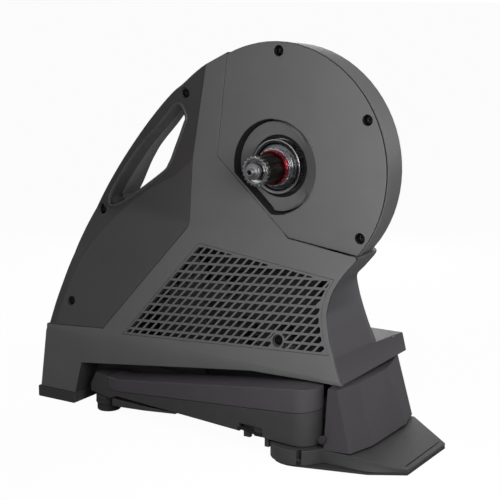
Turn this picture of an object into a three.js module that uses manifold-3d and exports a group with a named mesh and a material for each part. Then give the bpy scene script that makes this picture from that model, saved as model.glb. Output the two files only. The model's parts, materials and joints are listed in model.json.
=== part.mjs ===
// Direct drive bike trainer with folding legs, in millimetres, x forward, z up.
// It is modelled from the hub: x from the hub's axis, y from the outer face of the disc cover
// away from the drive side, z from the floor. The last section moves the whole machine so
// that its origin lies on the floor under the middle of its overall box.
import * as THREE from 'three';
import { mergeVertices } from 'three/addons/utils/BufferGeometryUtils.js';
import Module from 'manifold-3d';

const wasm = await Module();
wasm.setup();

// Overall sizes
const hubHeight = 325;
const discRadius = 145;
const overallHeight = hubHeight + discRadius;
const rearReach = 338;
const neckReach = 126;
const axleSpacing = 135;
const dropoutToDisc = 50;

// Clearances, skins and the overrun of every cut
const seam = 0.3;
const runningGap = 0.3;
const skin = 3;
const overrun = 400;
const splitDepth = 25;

// Front view of the body: how far its sides stand out, and the share of its height where each bend is
const floorShare = 0.193;
const bandSetOut = 48;
const footSetOut = 42;
const bandShare = 0.202128;
const shoulderShare = 0.531915;
const farTopReach = 62;
const farFootReach = 80;
const shelfReach = 104;
const shelfRootReach = 82;
const shelfTopShare = 0.255319;
const shelfBottomShare = 0.187234;
const shelfLipShare = 0.12766;

// Disc cover and pulley housing
const discDepth = 47;
const housingDraft = 3.5;
const dishRadius = 56.5;
const dishBottomRadius = 37.7;
const dishDepth = 12;
const dishWall = 2.2;
const coverScrewInset = 10.5;
const lobeRadius = 52;

// Screws and their posts
const counterboreRadius = 5.7;
const screwHeadRadius = 5.3;
const screwHeadHeight = 2.6;
const screwShankRadius = 2.2;
const coverScrewLength = 12;
const shellScrewLength = 16;
const grilleScrewLength = 6;
const screwSeatDepth = 6;
const coverSeatDepth = 4;
const cupLength = 14;
const cupWall = 1.2;
const postRadius = 5;

// Grille
const grilleThickness = 2.5;
const grilleColumnPitch = 11.8;
const grilleRowPitch = 10.2;
const grilleHoleWidth = 6.5;
const grilleHoleHeight = 7.2;
const grilleLean = 3.8;
const grilleRim = 3;
const grilleRiseAngle = 3.7;
const ledgeWidth = 3;
const ledgeThickness = 2.5;

// Axle, end caps and hub bearings
const axleRadius = 8.5;
const axleBore = 3;
const axleNearEnd = 43;
const axleFarEnd = 62;
const capRadius = 9.5;
const capFlangeRadius = 13;
const capFlangeWidth = 3.7;
const capShankRadius = 4.7;
const capShankLength = 8.4;
const stubRadius = 4.9;
const stubLength = 5.5;
const capBore = 2.7;
const hubBearingRadius = 13.2;
const hubBearingWidth = 9;

// Hub shell, drive pulley and belt
const flangeRadius = 32;
const flangeStart = 3.5;
const flangeWidth = 5;
const sleeveRadius = 24;
const sleeveEnd = 33;
const pulleyInset = 25;
const pulleyStart = 13;
const pulleyWidth = 16;
const pulleyRim = 8;
const pulleyWeb = 5;
const pulleyBossWall = 7;
const pulleyHoleMargin = 18.35;
const pulleyHoleCount = 6;
const beltThickness = 4;
const beltWidth = 14;

// Freehub
const freehubRadius = 17.3;
const freehubRoot = 15.7;
const splineCount = 9;
const freehubNeck = 13.7;
const endRingWidth = 6;
const redRingStart = 8;
const redRingWidth = 5;
const redRingRecess = 1.5;
const redRingRadius = 20.5;

// Flywheel, its shaft and bearings
const shaftX = -128;
const flywheelCoverDrop = 11.71;
const shaftRadius = 8.5;
const shaftStart = -9;
const shaftEnd = 92;
const smallPulleyRadius = 16;
const flywheelInset = 6;
const flywheelStart = 55;
const flywheelWidth = 31;
const flywheelRim = 19;
const flywheelWebInset = 7;
const flywheelHubRadius = 24;
const flywheelHubOverhang = 4;
const shaftBearingRadius = 17;
const flywheelCoverRadius = 105;
const flywheelCoverDepth = 99;
const flywheelCoverStart = 60;
const brakeCoverReach = 9;
const brakeCoverDrop = 14;
const brakeCoverRadius = 45;

// Frame plates
const uprightStart = 35;
const uprightThickness = 8.7;
const uprightFootRear = -165;
const uprightFootFront = 45;
const hubHeadRadius = 34;
const hubBossRadius = 20;
const hubBossLength = 15;
const bearingWall = 11;
const drivePlateStart = -6;
const drivePlateThickness = 8;
const drivePlateRear = -165;
const drivePlateFront = -95;
const plateHoleRadius = 20;

// Belt idler
const idlerSetOn = 42.1;
const idlerPress = 6;
const idlerRadius = 14;
const idlerPinRadius = 4;
const idlerPivotSetBack = 25;
const idlerPivotDrop = 31;
const idlerArmStart = 3.5;
const idlerArmThickness = 7;
const idlerArmRadius = 10;
const idlerBoltRadius = 5;
const idlerBoltHead = 8;
const idlerBoltHeadHeight = 5;
const idlerBoltEnd = -10;

// Brake
const brakeOverlap = 21;
const brakeReach = 33;
const brakeDrop = 32;
const brakeRise = 16;
const brakeJaw = 5;
const brakeAirGap = 3;
const brakeBridge = 14;
const coilReach = 8;
const coilInset = 2;

// Spine, rear leg, rear pad, circuit board and power inlet
const spineNear = -8;
const spineFar = 46;
const spineBottom = 22;
const spineTop = 58;
const spineRear = -283.5;
const spineFront = 96;
const spineWall = 6;
const rearPadHeight = 15;
const rearPadFront = -277;
const rearPadNear = -43;
const rearPadFar = 81;
const castingRear = -326;
const castingNear = -34;
const castingFar = 69;
const castingTop = 98;
const castingDraft = 17;
const castingSideDraft = 20;
const castingPocketWall = 8;
const boardRear = -272;
const boardLength = 60;
const boardWidth = 40;
const boardThickness = 2;
const boardStandoff = 4;
const boardPostRadius = 2.5;
const chipLength = 14;
const chipHeight = 3;
const inletRadius = 9;
const inletFlange = 11;
const inletFlangeWidth = 1.8;
const inletBore = 4;
const inletDepth = 14;
const inletX = -280;

// Front foot and pedestal
const soleThickness = 3;
const plateTop = 18;
const plateTipHeight = 7;
const plateRear = 60;
const plateNear = -63.5;
const plateShoulder = 141;
const plateCorner = 160;
const frontReach = 199;
const tipNear = -41;
const tipFar = 60;
const pedestalRear = 99;
const pedestalCorner = 138;
const pedestalFront = 147;
const pedestalChamfer = 36.5;
const pedestalClearance = 2.71;
const pedestalSideDraft = 8.5;
const pedestalFrontDraft = 22;
const pedestalWall = 5;
const saddleWidth = 12;
const saddleSetIn = 18;

// Folding legs, given for the drive side
const hingeX = 70;
const hingeSide = -53;
const bossRadius = 36;
const bossTop = 20;
const barrelRadius = 25;
const legBottom = 21;
const legClearance = 2.71;
const legTipHeight = 49;
const legTipRear = -258;
const legFootX = -227;
const legFootSide = -33;
const legWall = 5;
const coverWall = 3;
const coverRear = -214;
const legJointHeight = 59.4;
const legJointFall = 31.8;
const legShoulderHeight = 50;
const legArchHeight = 28;
const pinRadius = 9;
const pinTop = 56;
const pinHeadRadius = 13;
const pinHeadHeight = 4;
const footPadRadius = 15;
const footPadHeight = 8.7;
const footCollarRadius = 12.5;
const footCollarHeight = 11;
const footStudRadius = 5;
const footStudTop = 36;

// Leg latch and leg stop
const latchBarWidth = 5;
const latchBarHeight = 5;
const latchBarBottom = 25;
const latchSide = -67.5;
const latchRear = 0;
const latchFront = 34.7;
const latchTongueLength = 6;
const latchTongueBottom = 9;
const latchTabLength = 9;
const latchTabBottom = 16;
const latchTravel = 6;
const latchWindowRear = -3;
const latchWindowFront = 30;
const latchWindowTop = 33;
const guideRear = 17;
const guideFront = 28;
const guideWall = 4;
const legOpenAngle = 95;
const stopRadius = 4.5;
const stopLength = 6;
const stopStudRadius = 2.2;
const stopStudLength = 6;
const stopX = 104;
const stopHeight = 31;

// Planes and places that follow from the sizes above
const midPlane = axleSpacing / 2 - dropoutToDisc;
const nearDropout = -dropoutToDisc;
const farDropout = axleSpacing - dropoutToDisc;
const bandHeight = bandShare * overallHeight;
const shoulderHeight = shoulderShare * overallHeight;
const shelfTop = shelfTopShare * overallHeight;
const shelfBottom = shelfBottomShare * overallHeight;
const shelfLip = shelfLipShare * overallHeight;
const floorHeight = floorShare * overallHeight;
const legTop = floorHeight - legClearance;
const pedestalTop = floorHeight - pedestalClearance;
const shaftHeight = floorHeight + flywheelCoverRadius - flywheelCoverDrop;
const brakeCoverHeight = shaftHeight - brakeCoverDrop;
const brakeBottom = shaftHeight - brakeDrop;
const brakeTop = shaftHeight + brakeRise;
const origin = [0, 0];
const hub = [0, hubHeight];
const shaft = [shaftX, shaftHeight];
const hinge = [hingeX, hingeSide];
const pulleyRadius = discRadius - pulleyInset;

// The idler stands along the belt's front run and presses it inwards
const between = new THREE.Vector2(hub[0] - shaft[0], hub[1] - shaft[1]);
const runAngle = between.angle() - Math.asin((pulleyRadius - smallPulleyRadius) / between.length());
const idlerOffset = smallPulleyRadius + beltThickness + idlerRadius + 2 * runningGap - idlerPress;
const idler = [
  shaftX + idlerSetOn * Math.cos(runAngle) + idlerOffset * Math.sin(runAngle),
  shaftHeight + idlerSetOn * Math.sin(runAngle) - idlerOffset * Math.cos(runAngle),
];
const idlerPivot = [shaftX - idlerPivotSetBack, shaftHeight - idlerPivotDrop];
const flywheelRadius = flywheelCoverRadius - flywheelInset;
const inlet = [inletX, (shelfTop + shelfBottom) / 2];
const rimFront = shaftX + flywheelRadius;
const brakeCoverX = rimFront + brakeCoverReach;
const farSide = 2 * midPlane;
const faceSlope = bandSetOut / (shoulderHeight - bandHeight);
const leanAngle = Math.atan(faceSlope);

// Finishes, from the photograph
const finishes = {
  shell: { color: 0x2c2c2e, roughness: 0.6, metalness: 0 },
  darkShell: { color: 0x232226, roughness: 0.6, metalness: 0 },
  casting: { color: 0x2a2a2b, roughness: 0.55, metalness: 0.3 },
  machined: { color: 0xb9bbbe, roughness: 0.28, metalness: 1 },
  steel: { color: 0x8f9194, roughness: 0.35, metalness: 1 },
  blackSteel: { color: 0x1b1b1c, roughness: 0.4, metalness: 0.8 },
  redAnodised: { color: 0xb3202a, roughness: 0.3, metalness: 0.9 },
  rubber: { color: 0x151516, roughness: 0.9, metalness: 0 },
  copper: { color: 0xa8623a, roughness: 0.4, metalness: 0.9 },
  board: { color: 0x1f4a2c, roughness: 0.5, metalness: 0 },
};

// Turns a closed three.js geometry into a solid that can be cut and joined
function solid(geometry) {
  const bare = geometry.clone();
  bare.deleteAttribute('normal');
  bare.deleteAttribute('uv');
  const merged = mergeVertices(bare);
  const vertProperties = new Float32Array(merged.attributes.position.array);
  const triVerts = new Uint32Array(merged.index.array);
  const made = new wasm.Manifold(new wasm.Mesh({ numProp: 3, vertProperties, triVerts }));
  if (made.volume() > 0) {
    return made;
  }
  for (let i = 0; i < triVerts.length; i += 3) {
    const first = triVerts[i];
    triVerts[i] = triVerts[i + 1];
    triVerts[i + 1] = first;
  }
  return new wasm.Manifold(new wasm.Mesh({ numProp: 3, vertProperties, triVerts }));
}

function geometryOf(shape) {
  const { vertProperties, triVerts } = shape.getMesh();
  const geometry = new THREE.BufferGeometry();
  geometry.setAttribute('position', new THREE.BufferAttribute(vertProperties, 3));
  geometry.setIndex(new THREE.BufferAttribute(triVerts, 1));
  geometry.computeVertexNormals();
  return geometry;
}

const cut = (shape, tools) => tools.reduce((left, tool) => left.subtract(tool), shape);
const join = (shapes) => shapes.reduce((all, next) => all.add(next));

// The whole machine, with nested groups at the hub, the flywheel's shaft and each leg's hinge
const trainer = new THREE.Group();
const machine = new THREE.Group();
const hubGroup = new THREE.Group();
const shaftGroup = new THREE.Group();
trainer.add(machine);
machine.add(hubGroup, shaftGroup);
hubGroup.position.set(0, 0, hubHeight);
shaftGroup.position.set(shaftX, 0, shaftHeight);

function place(name, shape, finish, group = machine) {
  const mesh = new THREE.Mesh(geometryOf(shape), new THREE.MeshStandardMaterial(finishes[finish]));
  mesh.name = name;
  group.add(mesh);
}

// Outlines pushed along each axis, and a box between two corners
const alongX = [[0, 1, 0], [0, 0, 1], [1, 0, 0]];
const alongY = [[1, 0, 0], [0, 0, 1], [0, 1, 0]];
const alongZ = [[1, 0, 0], [0, 1, 0], [0, 0, 1]];

function pushAll(outlines, [across, up, along], start, end) {
  const shapes = outlines.map((outline) =>
    new THREE.Shape(outline.map((p) => new THREE.Vector2(...p))));
  const geometry = new THREE.ExtrudeGeometry(shapes, { depth: end - start, bevelEnabled: false });
  geometry.translate(0, 0, start);
  const axes = [across, up, along].map((axis) => new THREE.Vector3(...axis));
  geometry.applyMatrix4(new THREE.Matrix4().makeBasis(...axes));
  return solid(geometry);
}

const prismX = (points, start, end) => pushAll([points], alongX, start, end);
const prismY = (points, start, end) => pushAll([points], alongY, start, end);
const prismZ = (points, start, end) => pushAll([points], alongZ, start, end);

function box([x0, y0, z0], [x1, y1, z1]) {
  const geometry = new THREE.BoxGeometry(x1 - x0, y1 - y0, z1 - z0);
  geometry.translate((x0 + x1) / 2, (y0 + y1) / 2, (z0 + z1) / 2);
  return solid(geometry);
}

// A closed profile of radius and distance, turned about a line along y or along z
function turn(profile, sides) {
  const points = [...profile, profile[0]].map(([radius, along]) => new THREE.Vector2(radius, along));
  return new THREE.LatheGeometry(points, sides);
}

function turnY(profile, [x, z] = origin, sides = 20) {
  return solid(turn(profile, sides).translate(x, 0, z));
}

function turnZ(profile, [x, y] = origin, sides = 20) {
  return solid(turn(profile, sides).rotateX(Math.PI / 2).translate(x, y, 0));
}

const ringProfile = (inner, outer, start, end) =>
  [[inner, start], [outer, start], [outer, end], [inner, end]];
const ringY = (inner, outer, start, end, at, sides) =>
  turnY(ringProfile(inner, outer, start, end), at, sides);
const discY = (radius, start, end, at, sides) => ringY(0, radius, start, end, at, sides);
const discZ = (radius, start, end, at, sides) => turnZ(ringProfile(0, radius, start, end), at, sides);

// The same solid on the other side of the middle plane
function mirrored(shape) {
  return solid(geometryOf(shape).scale(1, -1, 1).translate(0, farSide, 0));
}

function circle([x, z], radius, sides = 24) {
  return Array.from({ length: sides }, (_, i) => {
    const angle = (2 * Math.PI * i) / sides;
    return [x + radius * Math.cos(angle), z + radius * Math.sin(angle)];
  });
}

// A band drawn tight around points in a plane
function wrap(points) {
  const sorted = [...points].sort((a, b) => a[0] - b[0] || a[1] - b[1]);
  const half = (list) => {
    const kept = [];
    list.forEach((p) => {
      while (kept.length > 1) {
        const [a, b] = kept.slice(-2);
        if ((b[0] - a[0]) * (p[1] - a[1]) - (b[1] - a[1]) * (p[0] - a[0]) > 0) {
          break;
        }
        kept.pop();
      }
      kept.push(p);
    });
    return kept.slice(0, -1);
  };
  return [...half(sorted), ...half(sorted.reverse())];
}

// A closed anticlockwise outline moved inwards, or outwards for a negative distance
function inset(points, distance) {
  const sharpestShare = 0.4;
  return points.map(([x, z], i) => {
    const [px, pz] = points[(i + points.length - 1) % points.length];
    const [nx, nz] = points[(i + 1) % points.length];
    const before = new THREE.Vector2(pz - z, x - px).normalize();
    const after = new THREE.Vector2(z - nz, nx - x).normalize();
    const mitre = before.clone().add(after).normalize();
    const reach = distance / Math.max(mitre.dot(before), sharpestShare);
    return [x + mitre.x * reach, z + mitre.y * reach];
  });
}

// Joins a row of equal outlines, each at its own place along an axis, into one closed solid
function loft(sections, places, pointAt) {
  const count = sections[0].length;
  const last = (sections.length - 1) * count;
  const positions = sections.flatMap((section, k) => section.flatMap((p) => pointAt(p, places[k])));
  const index = [];
  for (let a = 0; a < last; a += 1) {
    const b = (a % count) + 1 < count ? a + 1 : a + 1 - count;
    index.push(a, b, b + count, a, b + count, a + count);
  }
  const cap = (section) =>
    THREE.ShapeUtils.triangulateShape(section.map((p) => new THREE.Vector2(...p)), []);
  cap(sections[0]).forEach(([a, b, c]) => index.push(a, c, b));
  cap(sections.at(-1)).forEach(([a, b, c]) => index.push(last + a, last + b, last + c));
  const geometry = new THREE.BufferGeometry();
  geometry.setAttribute('position', new THREE.Float32BufferAttribute(positions, 3));
  geometry.setIndex(index);
  return solid(geometry);
}

const atDepth = ([x, z], y) => [x, y, z];
const atHeight = ([x, y], z) => [x, y, z];

// Points that follow the body's reach behind the hub, its reach ahead, and its height
const behind = ([x, z]) => [-x * rearReach, z * overallHeight];
const ahead = ([x, z]) => [x * neckReach, z * overallHeight];
const onDisc = ([x, z]) => [x * discRadius, hubHeight + z * discRadius];

// Side view of the body
const bayShares = [[0.772, 0.124], [0.585, 0.141], [0.399, 0.157], [0.222, 0.173], [0.01, 0.191]];
const columnFrontShare = 0.814;
const columnRearShare = 0.985;
const backShares = [
  [0.283, 0.939], [0.387, 0.878], [0.501, 0.815], [0.598, 0.736], [0.682, 0.654], [0.778, 0.553],
  [0.825, 0.481], [0.857, 0.42], [0.894, 0.324], [0.917, 0.22], [0.933, 0.218],
];
const handleHoleShares = [
  [0.488, 0.778], [0.599, 0.697], [0.723, 0.574], [0.686, 0.555], [0.489, 0.647], [0.447, 0.679],
  [0.418, 0.723], [0.383, 0.78], [0.374, 0.804], [0.409, 0.834],
];
const seamShares = [[0.759, -0.648], [0.131, -0.566], [-0.554, 0.052], [-0.452, 0.903]];
const nearNeckShares = [
  [0.899, 0.486], [0.775, 0.442], [0.702, 0.402], [0.678, 0.364], [0.69, 0.339], [0.736, 0.299],
  [0.778, 0.274], [0.808, 0.26], [0.849, 0.236], [0.897, 0.211], [0.94, floorShare],
];
const farNeckShares = [
  [0.476, 0.481], [0.492, 0.438], [0.548, 0.402], [0.567, 0.364], [0.595, 0.332], [0.651, 0.294],
  [0.746, 0.268], [0.857, 0.257], [0.96, 0.255], [0.984, 0.223], [1, floorShare],
];
const neckRootShare = 0.43;
const coverStripShare = 0.49;

const columnFoot = rearPadHeight + seam;
const backLine = backShares.map(behind);
const seamLine = seamShares.map(onDisc);
const handleHole = handleHoleShares.map(behind);
const nearNeck = nearNeckShares.map(ahead);
const farNeck = farNeckShares.map(ahead);
const neckRoot = neckRootShare * neckReach;
const stripRear = coverStripShare * neckReach;

function seamHeight(x) {
  const [[x1, z1], [x0, z0]] = seamLine;
  return z0 + ((x - x0) * (z1 - z0)) / (x1 - x0);
}

const rearOutline = [
  [-columnFrontShare * rearReach, columnFoot],
  ...bayShares.map(behind),
  [stripRear, floorHeight],
  [stripRear, seamHeight(stripRear)],
  ...seamLine.slice(1),
  ...backLine,
  [-columnRearShare * rearReach, columnFoot],
];

// Front view of the body, from the floor up the far side and down the near one
const sideOutline = [
  [-footSetOut, 0],
  [farFootReach, 0],
  [farFootReach, shelfLip],
  [shelfReach, shelfBottom],
  [shelfReach, shelfTop],
  [shelfRootReach, shelfTop],
  [farTopReach, shoulderHeight],
  [farTopReach, overallHeight + overrun],
  [0, overallHeight + overrun],
  [0, shoulderHeight],
  [-bandSetOut, bandHeight],
];
const insideWalls = (wall) => prismX(inset(sideOutline, wall), -overrun, overrun);

function faceAt(height) {
  return height > shoulderHeight ? 0 : -(shoulderHeight - Math.max(height, bandHeight)) * faceSlope;
}

// The neck's front runs from the drive side's curve to the shelf's, each point over its own depth
const neckStationShares = [0, 0.2, 0.32, 0.42, 0.51, 0.62, 0.67, 0.83, 1];
const neckBlendShares = [
  [0.62, 0.67], [0.62, 0.67], [0.26, 0.83], [0.26, 0.83], [0.26, 0.83], [0.26, 0.83],
  [0.2, 0.545], [0.2, 0.545], [0.2, 0.545], [0.2, 0.545], [0.2, 0.545],
];
const bodyNear = -bandSetOut - skin;
const bodyFar = shelfReach + skin;

function neckSection(share, wall) {
  const front = nearNeck.map(([x, z], i) => {
    const blend = THREE.MathUtils.smoothstep(share, ...neckBlendShares[i]);
    const [farX, farZ] = farNeck[i];
    return [THREE.MathUtils.lerp(x, farX, blend) - wall, THREE.MathUtils.lerp(z, farZ, blend)];
  });
  front[front.length - 1][1] += wall;
  return [...front.reverse(), [neckRoot, seamHeight(neckRoot)], [neckRoot, floorHeight + wall]];
}

function neckBlock(wall) {
  const sections = neckStationShares.map((share) => neckSection(share, wall));
  const places = neckStationShares.map((share) => THREE.MathUtils.lerp(bodyNear, bodyFar, share));
  return loft(sections, places, atDepth);
}

// The lobe of the far shell behind the disc, which carries the axle's far end
const lobeRoots = seamLine.slice(1, 3).map(([x, z]) => [x - 2 * skin, z - 2 * skin]);
const lobeOutline = (wall) => wrap([...circle(hub, lobeRadius - wall), ...lobeRoots]);
const lobeStart = discDepth + seam;

const bodyOuter = join([
  prismY(rearOutline, bodyNear, bodyFar),
  neckBlock(0),
  prismY(lobeOutline(0), lobeStart, bodyFar),
]).intersect(insideWalls(0));
const bodyInner = join([
  prismY(inset(rearOutline, skin), bodyNear, bodyFar),
  neckBlock(skin),
  discY(discRadius - skin, bodyNear, lobeStart, hub, 72),
  prismY(lobeOutline(skin), bodyNear, bodyFar),
]).intersect(insideWalls(skin));

// The side of the seam that the disc cover and the pulley housing lie on
function coverSide(gap) {
  const [low, corner, bend, top] = seamLine.map(([x, z]) => [x + gap, z + gap]);
  const far = overrun + top[1];
  const outline = [low, [overrun, low[1]], [overrun, far], [top[0], far], top, bend, corner];
  return prismY(outline, bodyNear, bodyFar);
}

const handleBore = prismY(handleHole, bodyNear, bodyFar);
const handleWall = prismY(inset(handleHole, -skin), bodyNear, bodyFar);
const floorSlot = box(
  [spineRear - skin, spineNear - skin, 0],
  [spineFront - pedestalWall, spineFar + skin, floorHeight + 2 * skin],
);
const castingSlot = box(
  [castingRear - seam, castingNear - seam, 0],
  [spineRear + seam, castingFar + seam, columnFoot + 2 * skin],
);
const housingSpace = discY(discRadius + seam, -seam, lobeStart, hub, 72).intersect(coverSide(0));
const axleSpace = discY(axleRadius + runningGap, 0, bodyFar, hub);
const bodySkin = cut(bodyOuter, [
  bodyInner.subtract(handleWall),
  handleBore,
  floorSlot,
  castingSlot,
  housingSpace,
  axleSpace,
]);

// Screws through the disc cover and through the body, and the cups that they sink into
const coverScrewAngles = [88, 27, -33];
const coverScrewRadius = discRadius - coverScrewInset;
const coverScrews = coverScrewAngles.map((degrees) => {
  const angle = THREE.MathUtils.degToRad(degrees);
  return [coverScrewRadius * Math.cos(angle), hubHeight + coverScrewRadius * Math.sin(angle)];
});
const shellScrewShares = [[0.373, 0.862], [0.762, 0.534], [0.839, 0.287]];
const shellScrews = shellScrewShares.map(behind);
const grilleScrewShare = [0.217, 0.273];
const grilleScrew = ahead(grilleScrewShare);
const boreRadius = screwShankRadius + runningGap;

function screw(head, length, at) {
  const profile = [
    [0, head],
    [screwHeadRadius, head],
    [screwHeadRadius, head + screwHeadHeight],
    [screwShankRadius, head + screwHeadHeight],
    [screwShankRadius, head + screwHeadHeight + length],
    [0, head + screwHeadHeight + length],
  ];
  return turnY(profile, at, 12);
}

function counterbore(face, depth, at) {
  return join([
    discY(counterboreRadius, face - overrun, face + depth, at, 16),
    discY(boreRadius, face, face + overrun, at, 12),
  ]);
}

const cupRadius = counterboreRadius + cupWall;
const cup = (at) => discY(cupRadius, bodyNear, faceAt(at[1]) + cupLength, at, 16);
const nearCups = join(shellScrews.map(cup)).intersect(insideWalls(0))
  .intersect(prismY(rearOutline, bodyNear, bodyFar));
const nearSeats = join([...shellScrews, grilleScrew].map((at) =>
  counterbore(faceAt(at[1]), screwSeatDepth, at)));
const grilleCup = cup(grilleScrew).intersect(insideWalls(skin));

const farPosts = join(shellScrews.map((at) => {
  const start = faceAt(at[1]) + cupLength + seam;
  return ringY(boreRadius, postRadius, start, bodyFar, at, 12);
})).intersect(insideWalls(skin / 2)).intersect(prismY(inset(rearOutline, skin + seam), bodyNear, bodyFar));

// Places the lines of the grille in the leaning part of the drive side's face
function onLean(outlines, start, end) {
  const flat = outlines.map((points) =>
    points.map(([x, z]) => [x, (z - bandHeight) / Math.cos(leanAngle)]));
  const upright = geometryOf(pushAll(flat, alongY, start, end));
  return solid(upright.rotateX(-leanAngle).translate(0, -bandSetOut, bandHeight));
}

const grilleRearShares = [[0.305, 0.479], [0.576, 0.225]];
const grilleFrontShares = [
  [0.762, 0.259], [0.683, 0.298], [0.631, 0.338], [0.623, 0.364], [0.643, 0.402], [0.698, 0.433],
];
const grilleOutline = [...grilleRearShares.map(behind), ...grilleFrontShares.map(ahead)];

function isInside([x, z], outline) {
  return outline.reduce((odd, [ax, az], i) => {
    const [bx, bz] = outline[(i + 1) % outline.length];
    const crosses = az > z !== bz > z && x < ax + ((z - az) * (bx - ax)) / (bz - az);
    return crosses ? !odd : odd;
  }, false);
}

// Rows of leaning holes that rise towards the front, each row set on along the lean
function grilleHoles(region) {
  const [left, bottom] = grilleOutline[1];
  const rise = Math.tan(THREE.MathUtils.degToRad(grilleRiseAngle));
  const shift = (grilleLean * grilleRowPitch) / grilleHoleHeight;
  const columns = Math.ceil((neckReach - left) / grilleColumnPitch);
  const rows = Math.ceil((overallHeight - bottom) / grilleRowPitch);
  const holes = [];
  for (let row = 0; row < rows; row += 1) {
    for (let column = 0; column < columns; column += 1) {
      const x = left + column * grilleColumnPitch + row * shift;
      const z = bottom + row * grilleRowPitch + (x - left) * rise;
      const step = grilleHoleWidth * rise;
      holes.push([
        [x, z],
        [x + grilleHoleWidth, z + step],
        [x + grilleHoleWidth + grilleLean, z + step + grilleHoleHeight],
        [x + grilleLean, z + grilleHoleHeight],
      ]);
    }
  }
  return holes.filter((hole) => hole.every((corner) => isInside(corner, region)));
}

const screwRim = counterboreRadius + grilleRim;
const grilleBars = grilleHoles(inset(grilleOutline, grilleRim)).filter((hole) =>
  hole.every(([x, z]) => Math.hypot(x - grilleScrew[0], z - grilleScrew[1]) > screwRim));
const grillePlate = onLean([grilleOutline], 0, grilleThickness)
  .subtract(onLean(grilleBars, -skin, grilleThickness + skin));
const ledgeStart = grilleThickness + seam;
const bodyShrunk = join([
  prismY(inset(rearOutline, skin + seam), bodyNear, bodyFar),
  neckBlock(skin + seam),
]);
const grilleLedge = onLean([inset(grilleOutline, -ledgeWidth)], ledgeStart, skin + ledgeThickness)
  .subtract(onLean([inset(grilleOutline, ledgeWidth)], 0, overrun))
  .intersect(bodyShrunk);
const grilleWindow = join([
  onLean([inset(grilleOutline, -seam)], -overrun, ledgeStart),
  onLean([inset(grilleOutline, ledgeWidth)], -overrun, 2 * skin),
]);
const ribFoot = [grilleScrew[0], grilleScrew[1] - 3 * ledgeWidth];
const ribOutline = wrap([...circle(grilleScrew, cupRadius), ...circle(ribFoot, cupRadius)]);
const grilleRib = onLean([ribOutline], ledgeStart, skin + ledgeThickness).intersect(bodyShrunk);

place('vent_grille', cut(grillePlate, [
  discY(counterboreRadius, bodyNear, bodyFar, grilleScrew, 20),
]), 'darkShell');

// Body shells, the neck's front cover and the cup over the flywheel
const frontStrip = (gap) => box([stripRear + gap, bodyNear, 0], [overrun, bodyFar, overrun])
  .intersect(insideWalls(skin + gap));
const frontCover = bodySkin.intersect(frontStrip(seam));
const sideSkins = bodySkin.subtract(frontStrip(0));
const split = box([-overrun, bodyNear, 0], [overrun, splitDepth, overallHeight]);
const splitGap = box([-overrun, bodyNear, 0], [overrun, splitDepth + seam, overallHeight]);

const flywheelCoverOutline = (inwards) => wrap([
  ...circle(shaft, flywheelCoverRadius - inwards, 48),
  ...circle([brakeCoverX, brakeCoverHeight], brakeCoverRadius - inwards),
]);
const flywheelSpace = prismY(flywheelCoverOutline(-seam), flywheelCoverStart - 2 * skin, bodyFar);

place('drive_side_shell', cut(join([
  cut(sideSkins.intersect(split), [grilleWindow]),
  nearCups,
  grilleLedge,
  grilleRib,
  grilleCup,
]), [nearSeats]), 'shell');
place('far_side_shell', cut(join([sideSkins.subtract(splitGap), farPosts]), [
  flywheelSpace,
  discY(inletRadius + seam, farFootReach, bodyFar, inlet, 24),
]), 'shell');
place('front_cover', frontCover, 'darkShell');
place('flywheel_cover', cut(prismY(flywheelCoverOutline(0), flywheelCoverStart, flywheelCoverDepth), [
  prismY(flywheelCoverOutline(skin), 0, flywheelCoverDepth - skin),
]), 'shell');

// Disc cover with its dish, and the drum of the pulley housing behind it
const discFace = [
  [discRadius, 0],
  [discRadius, skin],
  [dishRadius + dishWall, skin],
  [dishBottomRadius + dishWall, dishDepth],
  [dishBottomRadius, dishDepth],
  [dishRadius, 0],
];
const coverCups = join(coverScrews.map((at) => discY(cupRadius, 0, screwSeatDepth, at, 16)));
place('disc_cover', cut(join([
  turnY(discFace, hub, 72),
  coverCups.intersect(discY(discRadius - skin - seam, 0, discDepth, hub, 72)),
]), coverScrews.map((at) => counterbore(0, coverSeatDepth, at))).intersect(coverSide(seam)), 'shell');

const drumProfile = [
  [discRadius, skin + seam],
  [discRadius - housingDraft, discDepth],
  [hubBossRadius + runningGap, discDepth],
  [hubBossRadius + runningGap, discDepth - skin],
  [discRadius - housingDraft - skin, discDepth - skin],
  [discRadius - skin, skin + seam],
];
place('pulley_housing', join([
  turnY(drumProfile, hub, 72).intersect(coverSide(seam)),
  ...coverScrews.map((at) =>
    ringY(boreRadius, postRadius, screwSeatDepth + seam, discDepth - skin / 2, at, 12)),
]), 'shell');

coverScrews.forEach((at, i) => {
  const head = coverSeatDepth - screwHeadHeight - seam;
  place(`cover_screw_${i + 1}`, screw(head, coverScrewLength, at), 'blackSteel');
});
shellScrews.forEach((at, i) => {
  const head = faceAt(at[1]) + screwSeatDepth - screwHeadHeight - seam;
  place(`shell_screw_${i + 1}`, screw(head, shellScrewLength, at), 'blackSteel');
});
place('grille_screw', screw(
  faceAt(grilleScrew[1]) + screwSeatDepth - screwHeadHeight - seam,
  grilleScrewLength,
  grilleScrew,
), 'blackSteel');

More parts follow.
